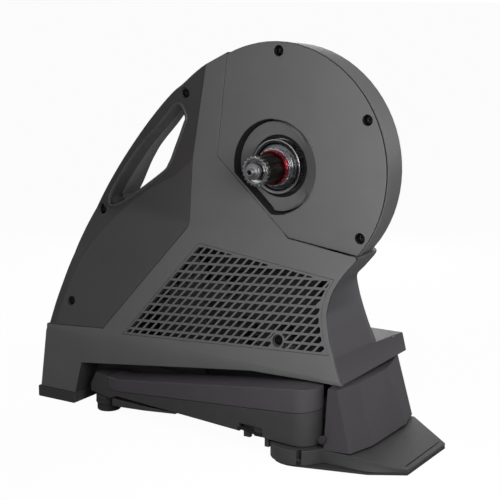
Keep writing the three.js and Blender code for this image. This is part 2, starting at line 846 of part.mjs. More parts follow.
// Axle and end caps
const axleProfile = [
  [capShankRadius + seam, -axleNearEnd],
  [axleRadius, -axleNearEnd],
  [axleRadius, axleFarEnd],
  [capShankRadius + seam, axleFarEnd],
  [capShankRadius + seam, axleFarEnd - capShankLength],
  [axleBore, axleFarEnd - capShankLength],
  [axleBore, capShankLength - axleNearEnd],
  [capShankRadius + seam, capShankLength - axleNearEnd],
];
place('main_axle', turnY(axleProfile), 'steel', hubGroup);
place('end_cap_drive_side', turnY([
  [capBore, nearDropout - stubLength],
  [stubRadius, nearDropout - stubLength],
  [stubRadius, nearDropout],
  [capRadius, nearDropout],
  [capRadius, -axleNearEnd - seam],
  [capShankRadius, -axleNearEnd - seam],
  [capShankRadius, capShankLength - axleNearEnd - seam],
  [capBore, capShankLength - axleNearEnd - seam],
]), 'machined', hubGroup);
place('end_cap_far_side', turnY([
  [capBore, axleFarEnd - capShankLength + seam],
  [capShankRadius, axleFarEnd - capShankLength + seam],
  [capShankRadius, axleFarEnd + seam],
  [capFlangeRadius, axleFarEnd + seam],
  [capFlangeRadius, axleFarEnd + seam + capFlangeWidth],
  [capRadius, axleFarEnd + seam + 2 * capFlangeWidth],
  [capRadius, farDropout],
  [stubRadius, farDropout],
  [stubRadius, farDropout + stubLength],
  [capBore, farDropout + stubLength],
]), 'machined', hubGroup);

// Hub shell on its two bearings, with the drive pulley
const onAxle = axleRadius + runningGap;
const hubBore = hubBearingRadius + seam;
place('hub_shell', turnY([
  [hubBore, flangeStart],
  [flangeRadius, flangeStart],
  [flangeRadius, flangeStart + flangeWidth],
  [sleeveRadius, flangeStart + flangeWidth],
  [sleeveRadius, sleeveEnd],
  [hubBore, sleeveEnd],
]), 'machined', hubGroup);
const nearBearing = flangeStart + seam;
const farBearing = sleeveEnd - hubBearingWidth;
place('hub_bearing_drive_side',
  ringY(onAxle, hubBearingRadius, nearBearing, nearBearing + hubBearingWidth), 'steel', hubGroup);
place('hub_bearing_far_side', ringY(onAxle, hubBearingRadius, farBearing, sleeveEnd), 'steel', hubGroup);

const pulleyEnd = pulleyStart + pulleyWidth;
const pulleyBore = sleeveRadius + seam;
const pulleyBoss = pulleyBore + pulleyBossWall;
const webStart = pulleyStart + (pulleyWidth - pulleyWeb) / 2;
const pulleyBody = turnY([
  [pulleyBore, pulleyStart],
  [pulleyBoss, pulleyStart],
  [pulleyBoss, webStart],
  [pulleyRadius - pulleyRim, webStart],
  [pulleyRadius - pulleyRim, pulleyStart],
  [pulleyRadius, pulleyStart],
  [pulleyRadius, pulleyEnd],
  [pulleyRadius - pulleyRim, pulleyEnd],
  [pulleyRadius - pulleyRim, webStart + pulleyWeb],
  [pulleyBoss, webStart + pulleyWeb],
  [pulleyBoss, pulleyEnd],
  [pulleyBore, pulleyEnd],
], origin, 40);
const pulleyHoleCircle = (pulleyRadius - pulleyRim + pulleyBoss) / 2;
const pulleyHoleRadius = (pulleyRadius - pulleyRim - pulleyBoss) / 2 - pulleyHoleMargin;
const pulleyHoles = circle(origin, pulleyHoleCircle, pulleyHoleCount)
  .map((at) => discY(pulleyHoleRadius, 0, discDepth, at, 12));
place('drive_pulley', cut(pulleyBody, pulleyHoles), 'machined', hubGroup);

// Freehub with its splined body, its silver end ring and its red seal ring
function splined(outer, root, start, end) {
  const stepsPerSpline = 4;
  const points = Array.from({ length: splineCount * stepsPerSpline }, (_, i) => {
    const angle = (2 * Math.PI * i) / (splineCount * stepsPerSpline);
    const radius = i % stepsPerSpline < 2 ? outer : root;
    return [radius * Math.cos(angle), radius * Math.sin(angle)];
  });
  return prismY(points, start, end).subtract(discY(onAxle, -overrun, overrun));
}

const endRingEnd = endRingWidth - axleNearEnd;
const stopStart = redRingRecess - redRingStart;
place('freehub_body', join([
  splined(freehubRadius, freehubRoot, endRingEnd + seam, stopStart - seam),
  ringY(onAxle, freehubNeck, stopStart - 2 * seam, flangeStart - seam),
]), 'blackSteel', hubGroup);
place('freehub_end_ring',
  splined(freehubRadius, freehubRoot, -axleNearEnd, endRingEnd), 'machined', hubGroup);
place('freehub_red_ring', turnY([
  [freehubNeck + seam, stopStart],
  [freehubRadius + seam, stopStart],
  [freehubRadius + seam, -redRingStart],
  [redRingRadius, -redRingStart],
  [redRingRadius, redRingWidth - redRingStart],
  [freehubNeck + seam, redRingWidth - redRingStart],
]), 'redAnodised', hubGroup);

// Belt around the two pulleys, with the idler pressing on its back
function beltLine(offset) {
  const wheels = [
    { at: hub, radius: pulleyRadius + runningGap + offset, side: 1 },
    { at: shaft, radius: smallPulleyRadius + runningGap + offset, side: 1 },
    { at: idler, radius: idlerRadius + runningGap + beltThickness - offset, side: -1 },
  ];
  const tangents = wheels.map((from, i) => {
    const to = wheels[(i + 1) % wheels.length];
    const across = new THREE.Vector2(to.at[0] - from.at[0], to.at[1] - from.at[1]);
    const lean = (to.side * to.radius - from.side * from.radius) / across.length();
    const along = across.clone().normalize();
    const left = new THREE.Vector2(-along.y, along.x).multiplyScalar(Math.sqrt(1 - lean * lean));
    return along.multiplyScalar(lean).add(left);
  });
  return wheels.flatMap(({ at, radius, side }, i) => {
    const arrive = tangents[(i + wheels.length - 1) % wheels.length].clone().multiplyScalar(-side);
    const leave = tangents[i].clone().multiplyScalar(-side);
    const full = 2 * Math.PI;
    const turned = (((leave.angle() - arrive.angle()) * side) % full + full) % full;
    const steps = Math.ceil((turned / full) * 60) + 1;
    return Array.from({ length: steps + 1 }, (_, k) => {
      const angle = arrive.angle() + (side * turned * k) / steps;
      return [at[0] + radius * Math.cos(angle), at[1] + radius * Math.sin(angle)];
    });
  });
}

const beltStart = pulleyStart + (pulleyWidth - beltWidth) / 2;
const beltEnd = beltStart + beltWidth;
place('belt', prismY(beltLine(beltThickness), beltStart, beltEnd)
  .subtract(prismY(beltLine(0), 0, beltEnd + overrun)), 'rubber');

// Flywheel on its shaft, which carries the small pulley
const onShaft = shaftRadius + runningGap;
place('flywheel_shaft', turnY([
  [0, shaftStart],
  [shaftRadius, shaftStart],
  [shaftRadius, pulleyStart],
  [smallPulleyRadius, pulleyStart],
  [smallPulleyRadius, pulleyEnd],
  [shaftRadius, pulleyEnd],
  [shaftRadius, shaftEnd],
  [0, shaftEnd],
]), 'steel', shaftGroup);
const flywheelEnd = flywheelStart + flywheelWidth;
const rimRoot = flywheelRadius - flywheelRim;
place('flywheel', turnY([
  [onShaft, flywheelStart - flywheelHubOverhang],
  [flywheelHubRadius, flywheelStart - flywheelHubOverhang],
  [flywheelHubRadius, flywheelStart + flywheelWebInset],
  [rimRoot, flywheelStart + flywheelWebInset],
  [rimRoot, flywheelStart],
  [flywheelRadius, flywheelStart],
  [flywheelRadius, flywheelEnd],
  [rimRoot, flywheelEnd],
  [rimRoot, flywheelEnd - flywheelWebInset],
  [flywheelHubRadius, flywheelEnd - flywheelWebInset],
  [flywheelHubRadius, flywheelEnd],
  [onShaft, flywheelEnd],
], origin, 40), 'casting', shaftGroup);
const drivePlateEnd = drivePlateStart + drivePlateThickness;
const uprightEnd = uprightStart + uprightThickness;
place('shaft_bearing_drive_side',
  ringY(onShaft, shaftBearingRadius, drivePlateStart, drivePlateEnd), 'steel', shaftGroup);
place('shaft_bearing_far_side',
  ringY(onShaft, shaftBearingRadius, uprightStart, uprightEnd), 'steel', shaftGroup);

// Frame plates that stand on the spine
const plateFoot = spineTop + seam;
const bearingSeat = (start, end) => discY(shaftBearingRadius + seam, start - skin, end + skin, shaft);
const uprightOutline = wrap([
  ...circle(hub, hubHeadRadius),
  ...circle(shaft, shaftBearingRadius + bearingWall),
  [uprightFootRear, plateFoot],
  [uprightFootFront, plateFoot],
]);
const uprightHoleShares = [[0.18, 0.234], [0.015, 0.234], [0.195, 0.49]];
place('frame_upright', cut(join([
  prismY(uprightOutline, uprightStart, uprightEnd),
  discY(hubBossRadius, uprightStart, uprightEnd + hubBossLength, hub),
]), [
  discY(onAxle, 0, overrun, hub),
  bearingSeat(uprightStart, uprightEnd),
  ...uprightHoleShares.map(behind).map((at) => discY(plateHoleRadius, 0, overrun, at, 24)),
]), 'casting');
place('drive_side_plate', cut(prismY(wrap([
  ...circle(shaft, shaftBearingRadius + bearingWall),
  ...circle(idlerPivot, idlerArmRadius),
  [drivePlateRear, plateFoot],
  [drivePlateFront, plateFoot],
]), drivePlateStart, drivePlateEnd), [
  bearingSeat(drivePlateStart, drivePlateEnd),
  discY(idlerBoltRadius + runningGap, -overrun, overrun, idlerPivot),
]), 'casting');

// Belt idler on its arm
const idlerArmEnd = idlerArmStart + idlerArmThickness;
const idlerArmOutline = wrap([
  ...circle(idlerPivot, idlerArmRadius),
  ...circle(idler, idlerArmRadius),
]);
place('idler_arm', cut(join([
  prismY(idlerArmOutline, idlerArmStart, idlerArmEnd),
  discY(idlerPinRadius, idlerArmStart, pulleyEnd, idler, 24),
]), [discY(idlerBoltRadius + runningGap, 0, overrun, idlerPivot)]), 'casting');
place('idler_pulley',
  ringY(idlerPinRadius + runningGap, idlerRadius, pulleyStart, pulleyEnd, idler), 'steel');
place('idler_bolt', turnY([
  [0, idlerBoltEnd],
  [idlerBoltRadius, idlerBoltEnd],
  [idlerBoltRadius, idlerArmEnd + seam],
  [idlerBoltHead, idlerArmEnd + seam],
  [idlerBoltHead, idlerArmEnd + seam + idlerBoltHeadHeight],
  [0, idlerArmEnd + seam + idlerBoltHeadHeight],
], idlerPivot, 24), 'blackSteel');

// Brake around the flywheel's rim, with a coil above and below its bridge
const brakeStart = uprightEnd + seam;
const brakeRear = rimFront - brakeOverlap;
const brakeFront = rimFront + brakeReach;
const coilRear = rimFront + coilReach;
const nearJawEnd = flywheelStart - brakeAirGap;
const farJawStart = flywheelEnd + brakeAirGap;
const farJawEnd = farJawStart + brakeJaw;
const brakeMiddle = (brakeBottom + brakeTop) / 2;
const bridgeRear = brakeFront - brakeBridge;
const bridgeBottom = brakeMiddle - brakeBridge / 2;
const bridgeTop = brakeMiddle + brakeBridge / 2;
place('brake_core', join([
  box([brakeRear, brakeStart, brakeBottom], [brakeFront, nearJawEnd, brakeTop]),
  box([brakeRear, farJawStart, brakeBottom], [brakeFront, farJawEnd, brakeTop]),
  box([bridgeRear, brakeStart, bridgeBottom], [brakeFront, farJawEnd, bridgeTop]),
]), 'steel');
const coil = (bottom, top) =>
  box([coilRear, nearJawEnd + seam, bottom], [brakeFront, farJawStart - seam, top]);
place('brake_coil_upper', coil(bridgeTop + seam, brakeTop - coilInset), 'copper');
place('brake_coil_lower', coil(brakeBottom + coilInset, bridgeBottom - seam), 'copper');

// Spine, a channel open below, with posts for the circuit board
const boardNear = spineNear + (spineFar - spineNear - boardWidth) / 2;
const boardCorners = [boardPostRadius, boardLength - boardPostRadius].flatMap((x) =>
  [boardPostRadius, boardWidth - boardPostRadius].map((y) => [boardRear + x, boardNear + y]));
place('spine', cut(join([
  box([spineRear, spineNear, spineBottom], [spineFront, spineFar, spineTop]),
  box([plateRear, spineNear, plateTop + seam], [spineFront, spineFar, spineTop]),
  ...boardCorners.map((at) =>
    discZ(boardPostRadius, spineTop - spineWall, spineTop + boardStandoff, at, 16)),
]), [
  box(
    [spineRear + spineWall, spineNear + spineWall, 0],
    [spineFront - spineWall, spineFar - spineWall, spineTop - spineWall],
  ),
]), 'casting');
const boardBottom = spineTop + boardStandoff + seam;
const boardTop = boardBottom + boardThickness;
const chipPlaceShares = [[0.2, 0.25], [0.5, 0.55], [0.62, 0.15]];
place('circuit_board', join([
  box([boardRear, boardNear, boardBottom], [boardRear + boardLength, boardNear + boardWidth, boardTop]),
  ...chipPlaceShares.map(([x, y]) => {
    const corner = [boardRear + x * boardLength, boardNear + y * boardWidth];
    const far = corner.map((value) => value + chipLength);
    return box([...corner, boardBottom], [...far, boardTop + chipHeight]);
  }),
]), 'board');

// Rear leg casting and the pad under it
const castingFront = spineRear - seam;
const castingFoot = [
  [castingRear, castingNear],
  [castingFront, castingNear],
  [castingFront, castingFar],
  [castingRear, castingFar],
];
const castingHead = [
  [castingRear + castingDraft, castingNear + castingSideDraft],
  [castingFront, castingNear + castingSideDraft],
  [castingFront, castingFar - castingSideDraft],
  [castingRear + castingDraft, castingFar - castingSideDraft],
];
const castingPocket = box(
  [castingRear + castingDraft + castingPocketWall, castingNear + castingSideDraft + castingPocketWall, 0],
  [
    castingFront - castingPocketWall,
    castingFar - castingSideDraft - castingPocketWall,
    castingTop - castingPocketWall,
  ],
);
place('rear_leg_casting', loft([castingFoot, castingHead], [columnFoot, castingTop], atHeight)
  .subtract(castingPocket), 'casting');
place('rear_foot_pad',
  box([-rearReach, rearPadNear, 0], [rearPadFront, rearPadFar, rearPadHeight]), 'rubber');

// Power inlet in the far side's shelf
const inletFace = shelfReach + seam + inletFlangeWidth;
place('power_inlet', cut(join([
  discY(inletRadius, inletFace - inletDepth - skin, inletFace, inlet, 24),
  discY(inletFlange, shelfReach + seam, inletFace, inlet, 24),
]), [discY(inletBore, inletFace - inletDepth, overrun, inlet, 16)]), 'rubber');

// Front foot: a plate that falls away to its front edge, with a boss under each leg's hinge
const farHinge = [hingeX, farSide - hingeSide];
const plateFar = farSide - plateNear;
const plateRearEdge = [[plateRear, plateFar], [plateRear, plateNear]];
const plateOutline = (corner) => [
  ...plateRearEdge,
  [corner, plateNear],
  [frontReach, tipNear],
  [frontReach, tipFar],
  [corner, plateFar],
];
const plateFootprint = plateOutline(plateCorner);
const plateUnder = [
  [plateRear, soleThickness],
  [frontReach, soleThickness],
  [frontReach, plateTipHeight],
  [plateShoulder, plateTop],
  [plateRear, plateTop],
];
const plateBody = loft([plateFootprint, plateOutline(plateShoulder)], [0, plateTop], atHeight)
  .intersect(prismY(plateUnder, plateNear - overrun, plateFar + overrun));
const bosses = [hinge, farHinge];
const pinRecessTop = soleThickness + seam + pinHeadHeight + seam;
const notchTools = [hinge, farHinge].flatMap((at, side) => [0, legOpenAngle].map((turned) => {
  const sense = side === 0 ? 1 : -1;
  const notch = box(
    [latchFront - seam, latchSide - seam, latchTongueBottom - seam],
    [latchFront + latchTravel + seam, latchSide + latchBarWidth + seam, bossTop + overrun],
  );
  const near = geometryOf(notch).translate(-hingeX, -hingeSide, 0);
  near.rotateZ(THREE.MathUtils.degToRad(turned));
  return solid(near.scale(1, sense, 1).translate(at[0], at[1], 0));
}));
place('front_foot', cut(join([
  plateBody,
  ...bosses.map((at) => discZ(bossRadius, soleThickness, bossTop, at, 40)),
]), [
  ...bosses.map((at) => discZ(pinRadius + seam, 0, overrun, at)),
  ...bosses.map((at) => discZ(pinHeadRadius + seam, 0, pinRecessTop, at)),
  ...notchTools,
]), 'casting');
place('front_foot_sole', prismZ(wrap([
  ...plateFootprint,
  ...circle(hinge, bossRadius - skin),
  ...circle(farHinge, bossRadius - skin),
]), 0, soleThickness - seam), 'rubber');

// Pedestal under the neck, with a saddle that carries the front cover
const across = (near) => farSide - near;
const pedestalOutline = (rear, corner, front, side) => [
  [rear, side],
  [corner, side],
  [front, side + pedestalChamfer],
  [front, across(side + pedestalChamfer)],
  [corner, across(side)],
  [rear, across(side)],
];
const pedestalFoot = pedestalOutline(pedestalRear, pedestalCorner, pedestalFront, plateNear);
const pedestalHead = pedestalOutline(
  pedestalRear,
  pedestalCorner - pedestalFrontDraft,
  pedestalFront - pedestalFrontDraft,
  plateNear + pedestalSideDraft,
);
const pedestalBottom = plateTop + seam;
const saddleTop = floorHeight - seam;
const saddle = box(
  [pedestalRear + pedestalWall, plateNear + saddleSetIn, pedestalTop - pedestalWall],
  [pedestalRear + pedestalWall + saddleWidth, across(plateNear + saddleSetIn), saddleTop],
);
const sideAt = (height) =>
  plateNear + (pedestalSideDraft * (height - pedestalBottom)) / (pedestalTop - pedestalBottom);
const stopBase = sideAt(stopHeight - stopRadius) - seam;
const stopAt = [stopX, stopHeight];
const stopBore = discY(stopStudRadius + seam, plateNear - skin, plateNear + 2 * stopStudLength, stopAt, 16);
place('pedestal', cut(join([
  loft([pedestalFoot, pedestalHead], [pedestalBottom, pedestalTop], atHeight),
  saddle,
]), [
  loft(
    [inset(pedestalFoot, pedestalWall), inset(pedestalHead, pedestalWall)],
    [pedestalBottom - seam, pedestalTop - pedestalWall],
    atHeight,
  ),
  ...bosses.map((at) => discZ(bossRadius + seam, 0, bossTop + seam, at, 40)),
  stopBore,
  mirrored(stopBore),
]), 'darkShell');

// One folding leg as a casting with a cover on top, in plan and in side view
const legLength = hingeX - legTipRear;
const legX = (share) => hingeX - share * legLength;
const legPlanShares = [[0.982, 0.6], [0.808, -0.16], [0, -1], [0, 1], [0.823, 1.44], [0.982, 1.16]];
const legShoulderShare = 0.793;
const legTipShare = 0.945;
const legToeShare = 0.86;
const legArchShare = 0.808;
const legPlan = wrap([
  ...legPlanShares.map(([x, y]) => [legX(x), hingeSide + y * barrelRadius]),
  ...circle(hinge, barrelRadius),
]);
const legNose = hingeX + barrelRadius;
const legSide = [
  [legNose, legBottom],
  [legNose, legTop],
  [hingeX, legTop],
  [legX(legShoulderShare), legShoulderHeight],
  [legX(legTipShare), legTipHeight],
  [legTipRear, legBottom],
  [legX(legToeShare), legBottom],
  [legX(legArchShare), legArchHeight],
];
const legNear = hingeSide - 2 * barrelRadius;
const legFar = hingeSide + 2 * barrelRadius;
const legBlock = (wall) => prismZ(inset(legPlan, wall), 0, legTop + seam)
  .intersect(prismY(inset(legSide, wall), legNear, legFar));
const jointAt = (x) => legJointHeight - ((hingeX - x) * legJointFall) / legLength;

function coverSpace(gap) {
  const rear = coverRear + gap;
  const front = legNose + overrun;
  const outline = [
    [rear, jointAt(rear) + gap],
    [front, jointAt(front) + gap],
    [front, legTop + overrun],
    [rear, legTop + overrun],
  ];
  return prismY(outline, legNear, legFar);
}

const cavityRear = legX(legArchShare);
const cavity = prismZ(inset(legPlan, legWall), 0, legTop).intersect(prismY([
  [cavityRear, 0],
  [hingeX, 0],
  [hingeX, jointAt(hingeX) - legWall],
  [cavityRear, jointAt(cavityRear) - legWall],
], legNear, legFar)).subtract(discZ(barrelRadius, 0, legTop, hinge));
const coverInside = legBlock(coverWall)
  .intersect(box([coverRear + seam + coverWall, legNear, 0], [legNose, legFar, legTop]));
const latchTop = latchBarBottom + latchBarHeight;
const latchInner = latchSide + latchBarWidth;
const latchBar = (gap) => box(
  [latchRear - gap, latchSide - gap, latchBarBottom - gap],
  [latchFront + latchTravel + gap, latchInner + gap, latchTop + gap],
);
const guide = box(
  [guideRear, latchSide - guideWall, legBottom],
  [guideFront, latchInner + guideWall, jointAt(guideRear) - legWall / 2],
);
const latchWindow = box(
  [latchWindowRear, legNear, 0],
  [latchWindowFront, latchInner, latchWindowTop],
);
const footAt = [legFootX, legFootSide];
const legCasting = cut(join([cut(legBlock(0), [coverSpace(0), cavity, latchWindow]), guide]), [
  latchBar(seam),
  discZ(pinRadius + seam, 0, pinTop + seam, hinge),
  discZ(footStudRadius + seam, 0, footStudTop + seam, footAt),
]);
const legCover = legBlock(0).intersect(coverSpace(seam)).subtract(coverInside);
const latch = join([
  box([latchRear, latchSide, latchBarBottom], [latchFront, latchInner, latchTop]),
  box([latchRear, latchSide, latchTabBottom], [latchRear + latchTabLength, latchInner, latchTop]),
  box([latchFront - latchTongueLength, latchSide, latchTongueBottom], [latchFront, latchInner, latchTop]),
]);
const pinFoot = soleThickness + seam;
const hingePin = turnZ([
  [0, pinFoot],
  [pinHeadRadius, pinFoot],
  [pinHeadRadius, pinFoot + pinHeadHeight],
  [pinRadius, pinFoot + pinHeadHeight],
  [pinRadius, pinTop],
  [0, pinTop],
], hinge);
const collarStart = footPadHeight + seam;
const footScrew = turnZ([
  [0, collarStart],
  [footCollarRadius, collarStart],
  [footCollarRadius, collarStart + footCollarHeight],
  [footStudRadius, collarStart + footCollarHeight],
  [footStudRadius, footStudTop],
  [0, footStudTop],
], footAt, 24);
const legStop = turnY([
  [0, stopBase - stopLength],
  [stopRadius, stopBase - stopLength],
  [stopRadius, stopBase],
  [stopStudRadius, stopBase],
  [stopStudRadius, stopBase + stopStudLength],
  [0, stopBase + stopStudLength],
], stopAt, 20);

const legParts = [
  ['leg', legCasting, 'casting'],
  ['leg_cover', legCover, 'darkShell'],
  ['hinge_pin', hingePin, 'steel'],
  ['latch', latch, 'darkShell'],
  ['foot_screw', footScrew, 'blackSteel'],
  ['foot_pad', discZ(footPadRadius, 0, footPadHeight, footAt), 'rubber'],
  ['leg_stop', legStop, 'rubber'],
];
legParts.forEach(([name, shape, finish]) => {
  place(`drive_side_${name}`, shape, finish);
  place(`far_side_${name}`, mirrored(shape), finish);
});

// The origin lies on the floor under the middle of the overall box
machine.position.set((rearReach - frontReach) / 2, -midPlane, 0);

export default trainer;
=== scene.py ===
"""Looks of a direct drive bike trainer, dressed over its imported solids. Lengths are in metres.

Places are worked out in millimetres from the hub: x forward from the hub's axis, y from the
disc cover's outer face away from the drive side, z up from the floor.
"""

import json
import math

import bmesh
import bpy
import numpy as np
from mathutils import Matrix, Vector
from mathutils.geometry import delaunay_2d_cdt


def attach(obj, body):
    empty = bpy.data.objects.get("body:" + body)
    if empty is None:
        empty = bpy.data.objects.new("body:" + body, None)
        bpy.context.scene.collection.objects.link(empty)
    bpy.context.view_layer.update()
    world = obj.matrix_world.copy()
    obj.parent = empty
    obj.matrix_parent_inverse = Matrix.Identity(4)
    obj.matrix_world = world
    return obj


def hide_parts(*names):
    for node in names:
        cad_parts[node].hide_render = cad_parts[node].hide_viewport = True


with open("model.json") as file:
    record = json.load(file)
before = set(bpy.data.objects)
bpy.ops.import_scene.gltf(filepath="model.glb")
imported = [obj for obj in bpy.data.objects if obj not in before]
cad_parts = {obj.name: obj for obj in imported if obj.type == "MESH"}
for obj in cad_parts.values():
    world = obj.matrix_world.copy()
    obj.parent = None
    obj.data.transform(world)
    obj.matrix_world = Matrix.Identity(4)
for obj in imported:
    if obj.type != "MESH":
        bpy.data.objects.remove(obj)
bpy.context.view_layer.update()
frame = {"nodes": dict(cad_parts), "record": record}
scene = bpy.context.scene
nodes = frame["nodes"]

MM = 0.001
HUB = np.array([69.5, -17.5, 0.0])  # the hub's x, y and floor in the frame, in millimetres
HUB_HEIGHT = 325.0
DISC_RADIUS = 145.0
REAR_REACH = 338.0
NECK_REACH = 126.0
HEIGHT = 470.0
FLOOR_SHARE = 0.193  # the neck line's lowest point, as a share of the height
HUB_POINT = (HUB[0], HUB[1], HUB_HEIGHT)
SHOULDER, BAND = 250.0, 95.0  # heights at which the drive side bends
BAND_SET_OUT, FOOT_SET_OUT = 48.0, 42.0
SPLIT_Y = 25.3  # where the far shell meets the drive side's
FAR_FACE = 62.0  # the far side's y above the shoulder
MIRROR_SUM = 35.0  # y on one side plus y on the other, of places that mirror each other
SIDES = (("drive_side", False), ("far_side", True))


def linear(colour):
    """Linear red, green and blue of an sRGB hex: c / 12.92 up to 0.04045, else
    ((c + 0.055) / 1.055) ^ 2.4."""
    c = np.array([int(colour[i : i + 2], 16) for i in (1, 3, 5)]) / 255
    low, high = c / 12.92, ((c + 0.055) / 1.055) ** 2.4
    return (*np.where(c <= 0.04045, low, high), 1.0)


# Camera, at the photograph's place
lens = bpy.data.cameras.new("camera")
lens.lens, lens.sensor_width = 92.64, 36
camera = bpy.data.objects.new("camera", lens)
camera.location = (0.840291, -1.290006, 0.531045)
camera.rotation_euler = (math.radians(78.43), 0, math.radians(32.3))
scene.collection.objects.link(camera)
scene.camera = camera
scene.view_settings.view_transform = "Standard"


def add(tree, kind, inputs=None, **settings):
    """A shader node with its settings; an input takes a value or another node's output."""
    node = tree.nodes.new(kind)
    for name, value in settings.items():
        setattr(node, name, value)
    for name, value in (inputs or {}).items():
        if isinstance(value, bpy.types.NodeSocket):
            tree.links.new(value, node.inputs[name])
        else:
            node.inputs[name].default_value = value
    return node


def new_material(name):
    material = bpy.data.materials.new(name)
    material.use_nodes = True
    material.node_tree.nodes.clear()
    return material, material.node_tree


def noise(tree, place, size, detail):
    """Noise whose blotches have a size in millimetres."""
    settings = {"Vector": place, "Scale": 1 / (size * MM), "Detail": detail}
    return add(tree, "ShaderNodeTexNoise", settings).outputs["Fac"]


def surface(tree, share, deep, tone, roughness, relief, depth, others):
    """Ends a material: its colour lies between two tones by a share, its relief is raised to a
    depth in millimetres, and other sockets of the shader take one value each."""
    tones = {0: share, 6: linear(deep), 7: linear(tone)}
    colour = add(tree, "ShaderNodeMix", tones, data_type="RGBA").outputs[2]
    raised = {"Height": relief, "Distance": depth * MM, "Strength": 1.0}
    normal = add(tree, "ShaderNodeBump", raised).outputs["Normal"]
    look = {"Base Color": colour, "Roughness": roughness, "Normal": normal, **others}
    skin = add(tree, "ShaderNodeBsdfPrincipled", look)
    add(tree, "ShaderNodeOutputMaterial", {"Surface": skin.outputs["BSDF"]})


def grained(name, tone, deep, roughness, grain, depth, metallic=0.0, blotch=35.0, fades=None):
    """A moulded, cast or painted skin. Its colour drifts between two tones over blotches of a
    given size in millimetres, or fades from the deep one to the other between two heights, and
    fine grain of a given size and depth roughens it."""
    material, tree = new_material(name)
    place = add(tree, "ShaderNodeTexCoord").outputs["Object"]
    if fades:
        height = add(tree, "ShaderNodeSeparateXYZ", {"Vector": place}).outputs["Z"]
        reach = {"Value": height, "From Min": fades[0] * MM, "From Max": fades[1] * MM}
        share = add(tree, "ShaderNodeMapRange", reach).outputs["Result"]
    else:
        share = noise(tree, place, blotch, 4.0)
    fine = noise(tree, place, grain, 3.0)
    spread = {
        "Value": fine, "From Min": 0.3, "From Max": 0.7,
        "To Min": roughness - 0.06, "To Max": roughness + 0.06,
    }
    dull = add(tree, "ShaderNodeMapRange", spread).outputs["Result"]
    others = {"Metallic": metallic, "Specular IOR Level": 0.3}
    surface(tree, share, deep, tone, dull, fine, depth, others)
    return material


def turned_metal(name, tone, deep, roughness, step, depth):
    """Metal faced on a lathe: rings around the hub's axle, 2 pi times a step in millimetres apart,
    with faint darker smudges."""
    material, tree = new_material(name)
    place = add(tree, "ShaderNodeTexCoord").outputs["Object"]
    middle = tuple(-v * MM for v in HUB_POINT)
    about = add(tree, "ShaderNodeMapping", {"Vector": place, "Location": middle})
    wave = {"Vector": about.outputs["Vector"], "Distortion": 0.6, "Detail": 2.0}
    wave["Scale"] = 1 / (20 * step * MM)
    rings = add(tree, "ShaderNodeTexWave", wave, wave_type="RINGS", rings_direction="Y")
    smudge = noise(tree, place, 9, 5.0)
    spread = {"Value": smudge, "To Min": roughness - 0.08, "To Max": roughness + 0.1}
    dull = add(tree, "ShaderNodeMapRange", spread).outputs["Result"]
    surface(tree, smudge, deep, tone, dull, rings.outputs["Fac"], depth, {"Metallic": 1.0})
    return material


# ABS moulded against a spark-eroded tool: an even, fine matte grain with a soft wide sheen.
# The real grain is near 0.2 mm and is drawn at 1.4 mm so that it shows.
moulded_abs = grained("moulded ABS", "#6e6e6f", "#666667", 0.52, 1.4, 0.03)
# The same plastic in a deeper tone and a little smoother, on the bare panel by the handle.
panel_abs = grained("panel ABS", "#4d4b4c", "#464445", 0.46, 1.2, 0.02)
# The handle's grip surface, darker again: painted shade for the recessed handle, which faces away
# from the light.
shaded_handle_abs = grained("handle ABS", "#424041", "#3b393a", 0.5, 1.2, 0.03)
# Glass-filled nylon: darker, slightly violet, with a flatter sheen than the ABS.
glass_nylon = grained("glass-filled nylon", "#4f4c50", "#474448", 0.55, 1.6, 0.04)
# The same nylon on the neck's cover. The photograph's light leaves it dark at the shelf and
# lighter under the disc, and the fade by height copies that.
cover_fade = (118.0, 225.0)
cover_nylon = grained("neck cover nylon", "#58575a", "#333035", 0.5, 1.6, 0.03, fades=cover_fade)
# The same nylon on the pedestal, in the darker tone that the photograph's light gives it.
pedestal_nylon = grained("pedestal nylon", "#454246", "#3f3c40", 0.55, 1.6, 0.04)
# Cast iron and steel under a textured powder coat: small rounded bumps like orange peel.
powder_coat = grained("powder-coated casting", "#464546", "#3b3a3b", 0.48, 2.2, 0.08, blotch=22.0)
# Moulded rubber of the feet: nearly black, dull, with a dusty bloom.
moulded_rubber = grained("moulded rubber", "#383636", "#2b2929", 0.75, 1.8, 0.05, blotch=12.0)
# The rear pad's rubber: greyer and duller than the feet's.
pad_rubber = grained("worn pad rubber", "#4a4848", "#403e3e", 0.8, 1.8, 0.05, blotch=14.0)
# Belt rubber, seen only through the vents: nearly black, partly its own tone and partly painted
# shade of the vents' insides.
belt_rubber_vent_shade = grained("belt rubber", "#1a1a1b", "#121213", 0.7, 1.5, 0.05, blotch=10.0)
# Machined and polished aluminium: bright. Real turning marks are too fine to show, so a few
# shallow rings stand for them.
turned_aluminium = turned_metal("turned aluminium", "#d2d2d3", "#a9a9ab", 0.24, 0.9, 0.012)
# The same aluminium bead-blasted grey, as on the end caps.
satin_aluminium = turned_metal("satin aluminium", "#98989a", "#747477", 0.36, 0.8, 0.01)
# The same aluminium blacked and polished, as on the hub's flange: its mirror is a dark one.
polished_dark = turned_metal("black polished aluminium", "#77787b", "#4c4d50", 0.22, 1.0, 0.012)
# Painted shade: a black, dull skin put where gaps, grooves and hollows lie in shade.
painted_shade_black = grained("foam seal", "#161616", "#0e0e0e", 0.9, 1.5, 0.05)
# Ground bearing steel: darker and glossier than the aluminium.
ground_steel = turned_metal("ground steel", "#8f8f92", "#5e5e61", 0.22, 1.1, 0.01)
# Steel blackened in hot oxide: a deep brown-grey with a low metallic gloss.
black_oxide = grained("black oxide steel", "#2c2a27", "#1c1b19", 0.38, 0.9, 0.02, 0.75, 6.0)
# Screws deep in their bores: the same oxide, made nearly black as painted shade of the bores, and
# less metallic.
bore_shaded_oxide = grained("oiled black oxide", "#0f0e0d", "#080808", 0.45, 0.9, 0.02, 0.3, 6.0)
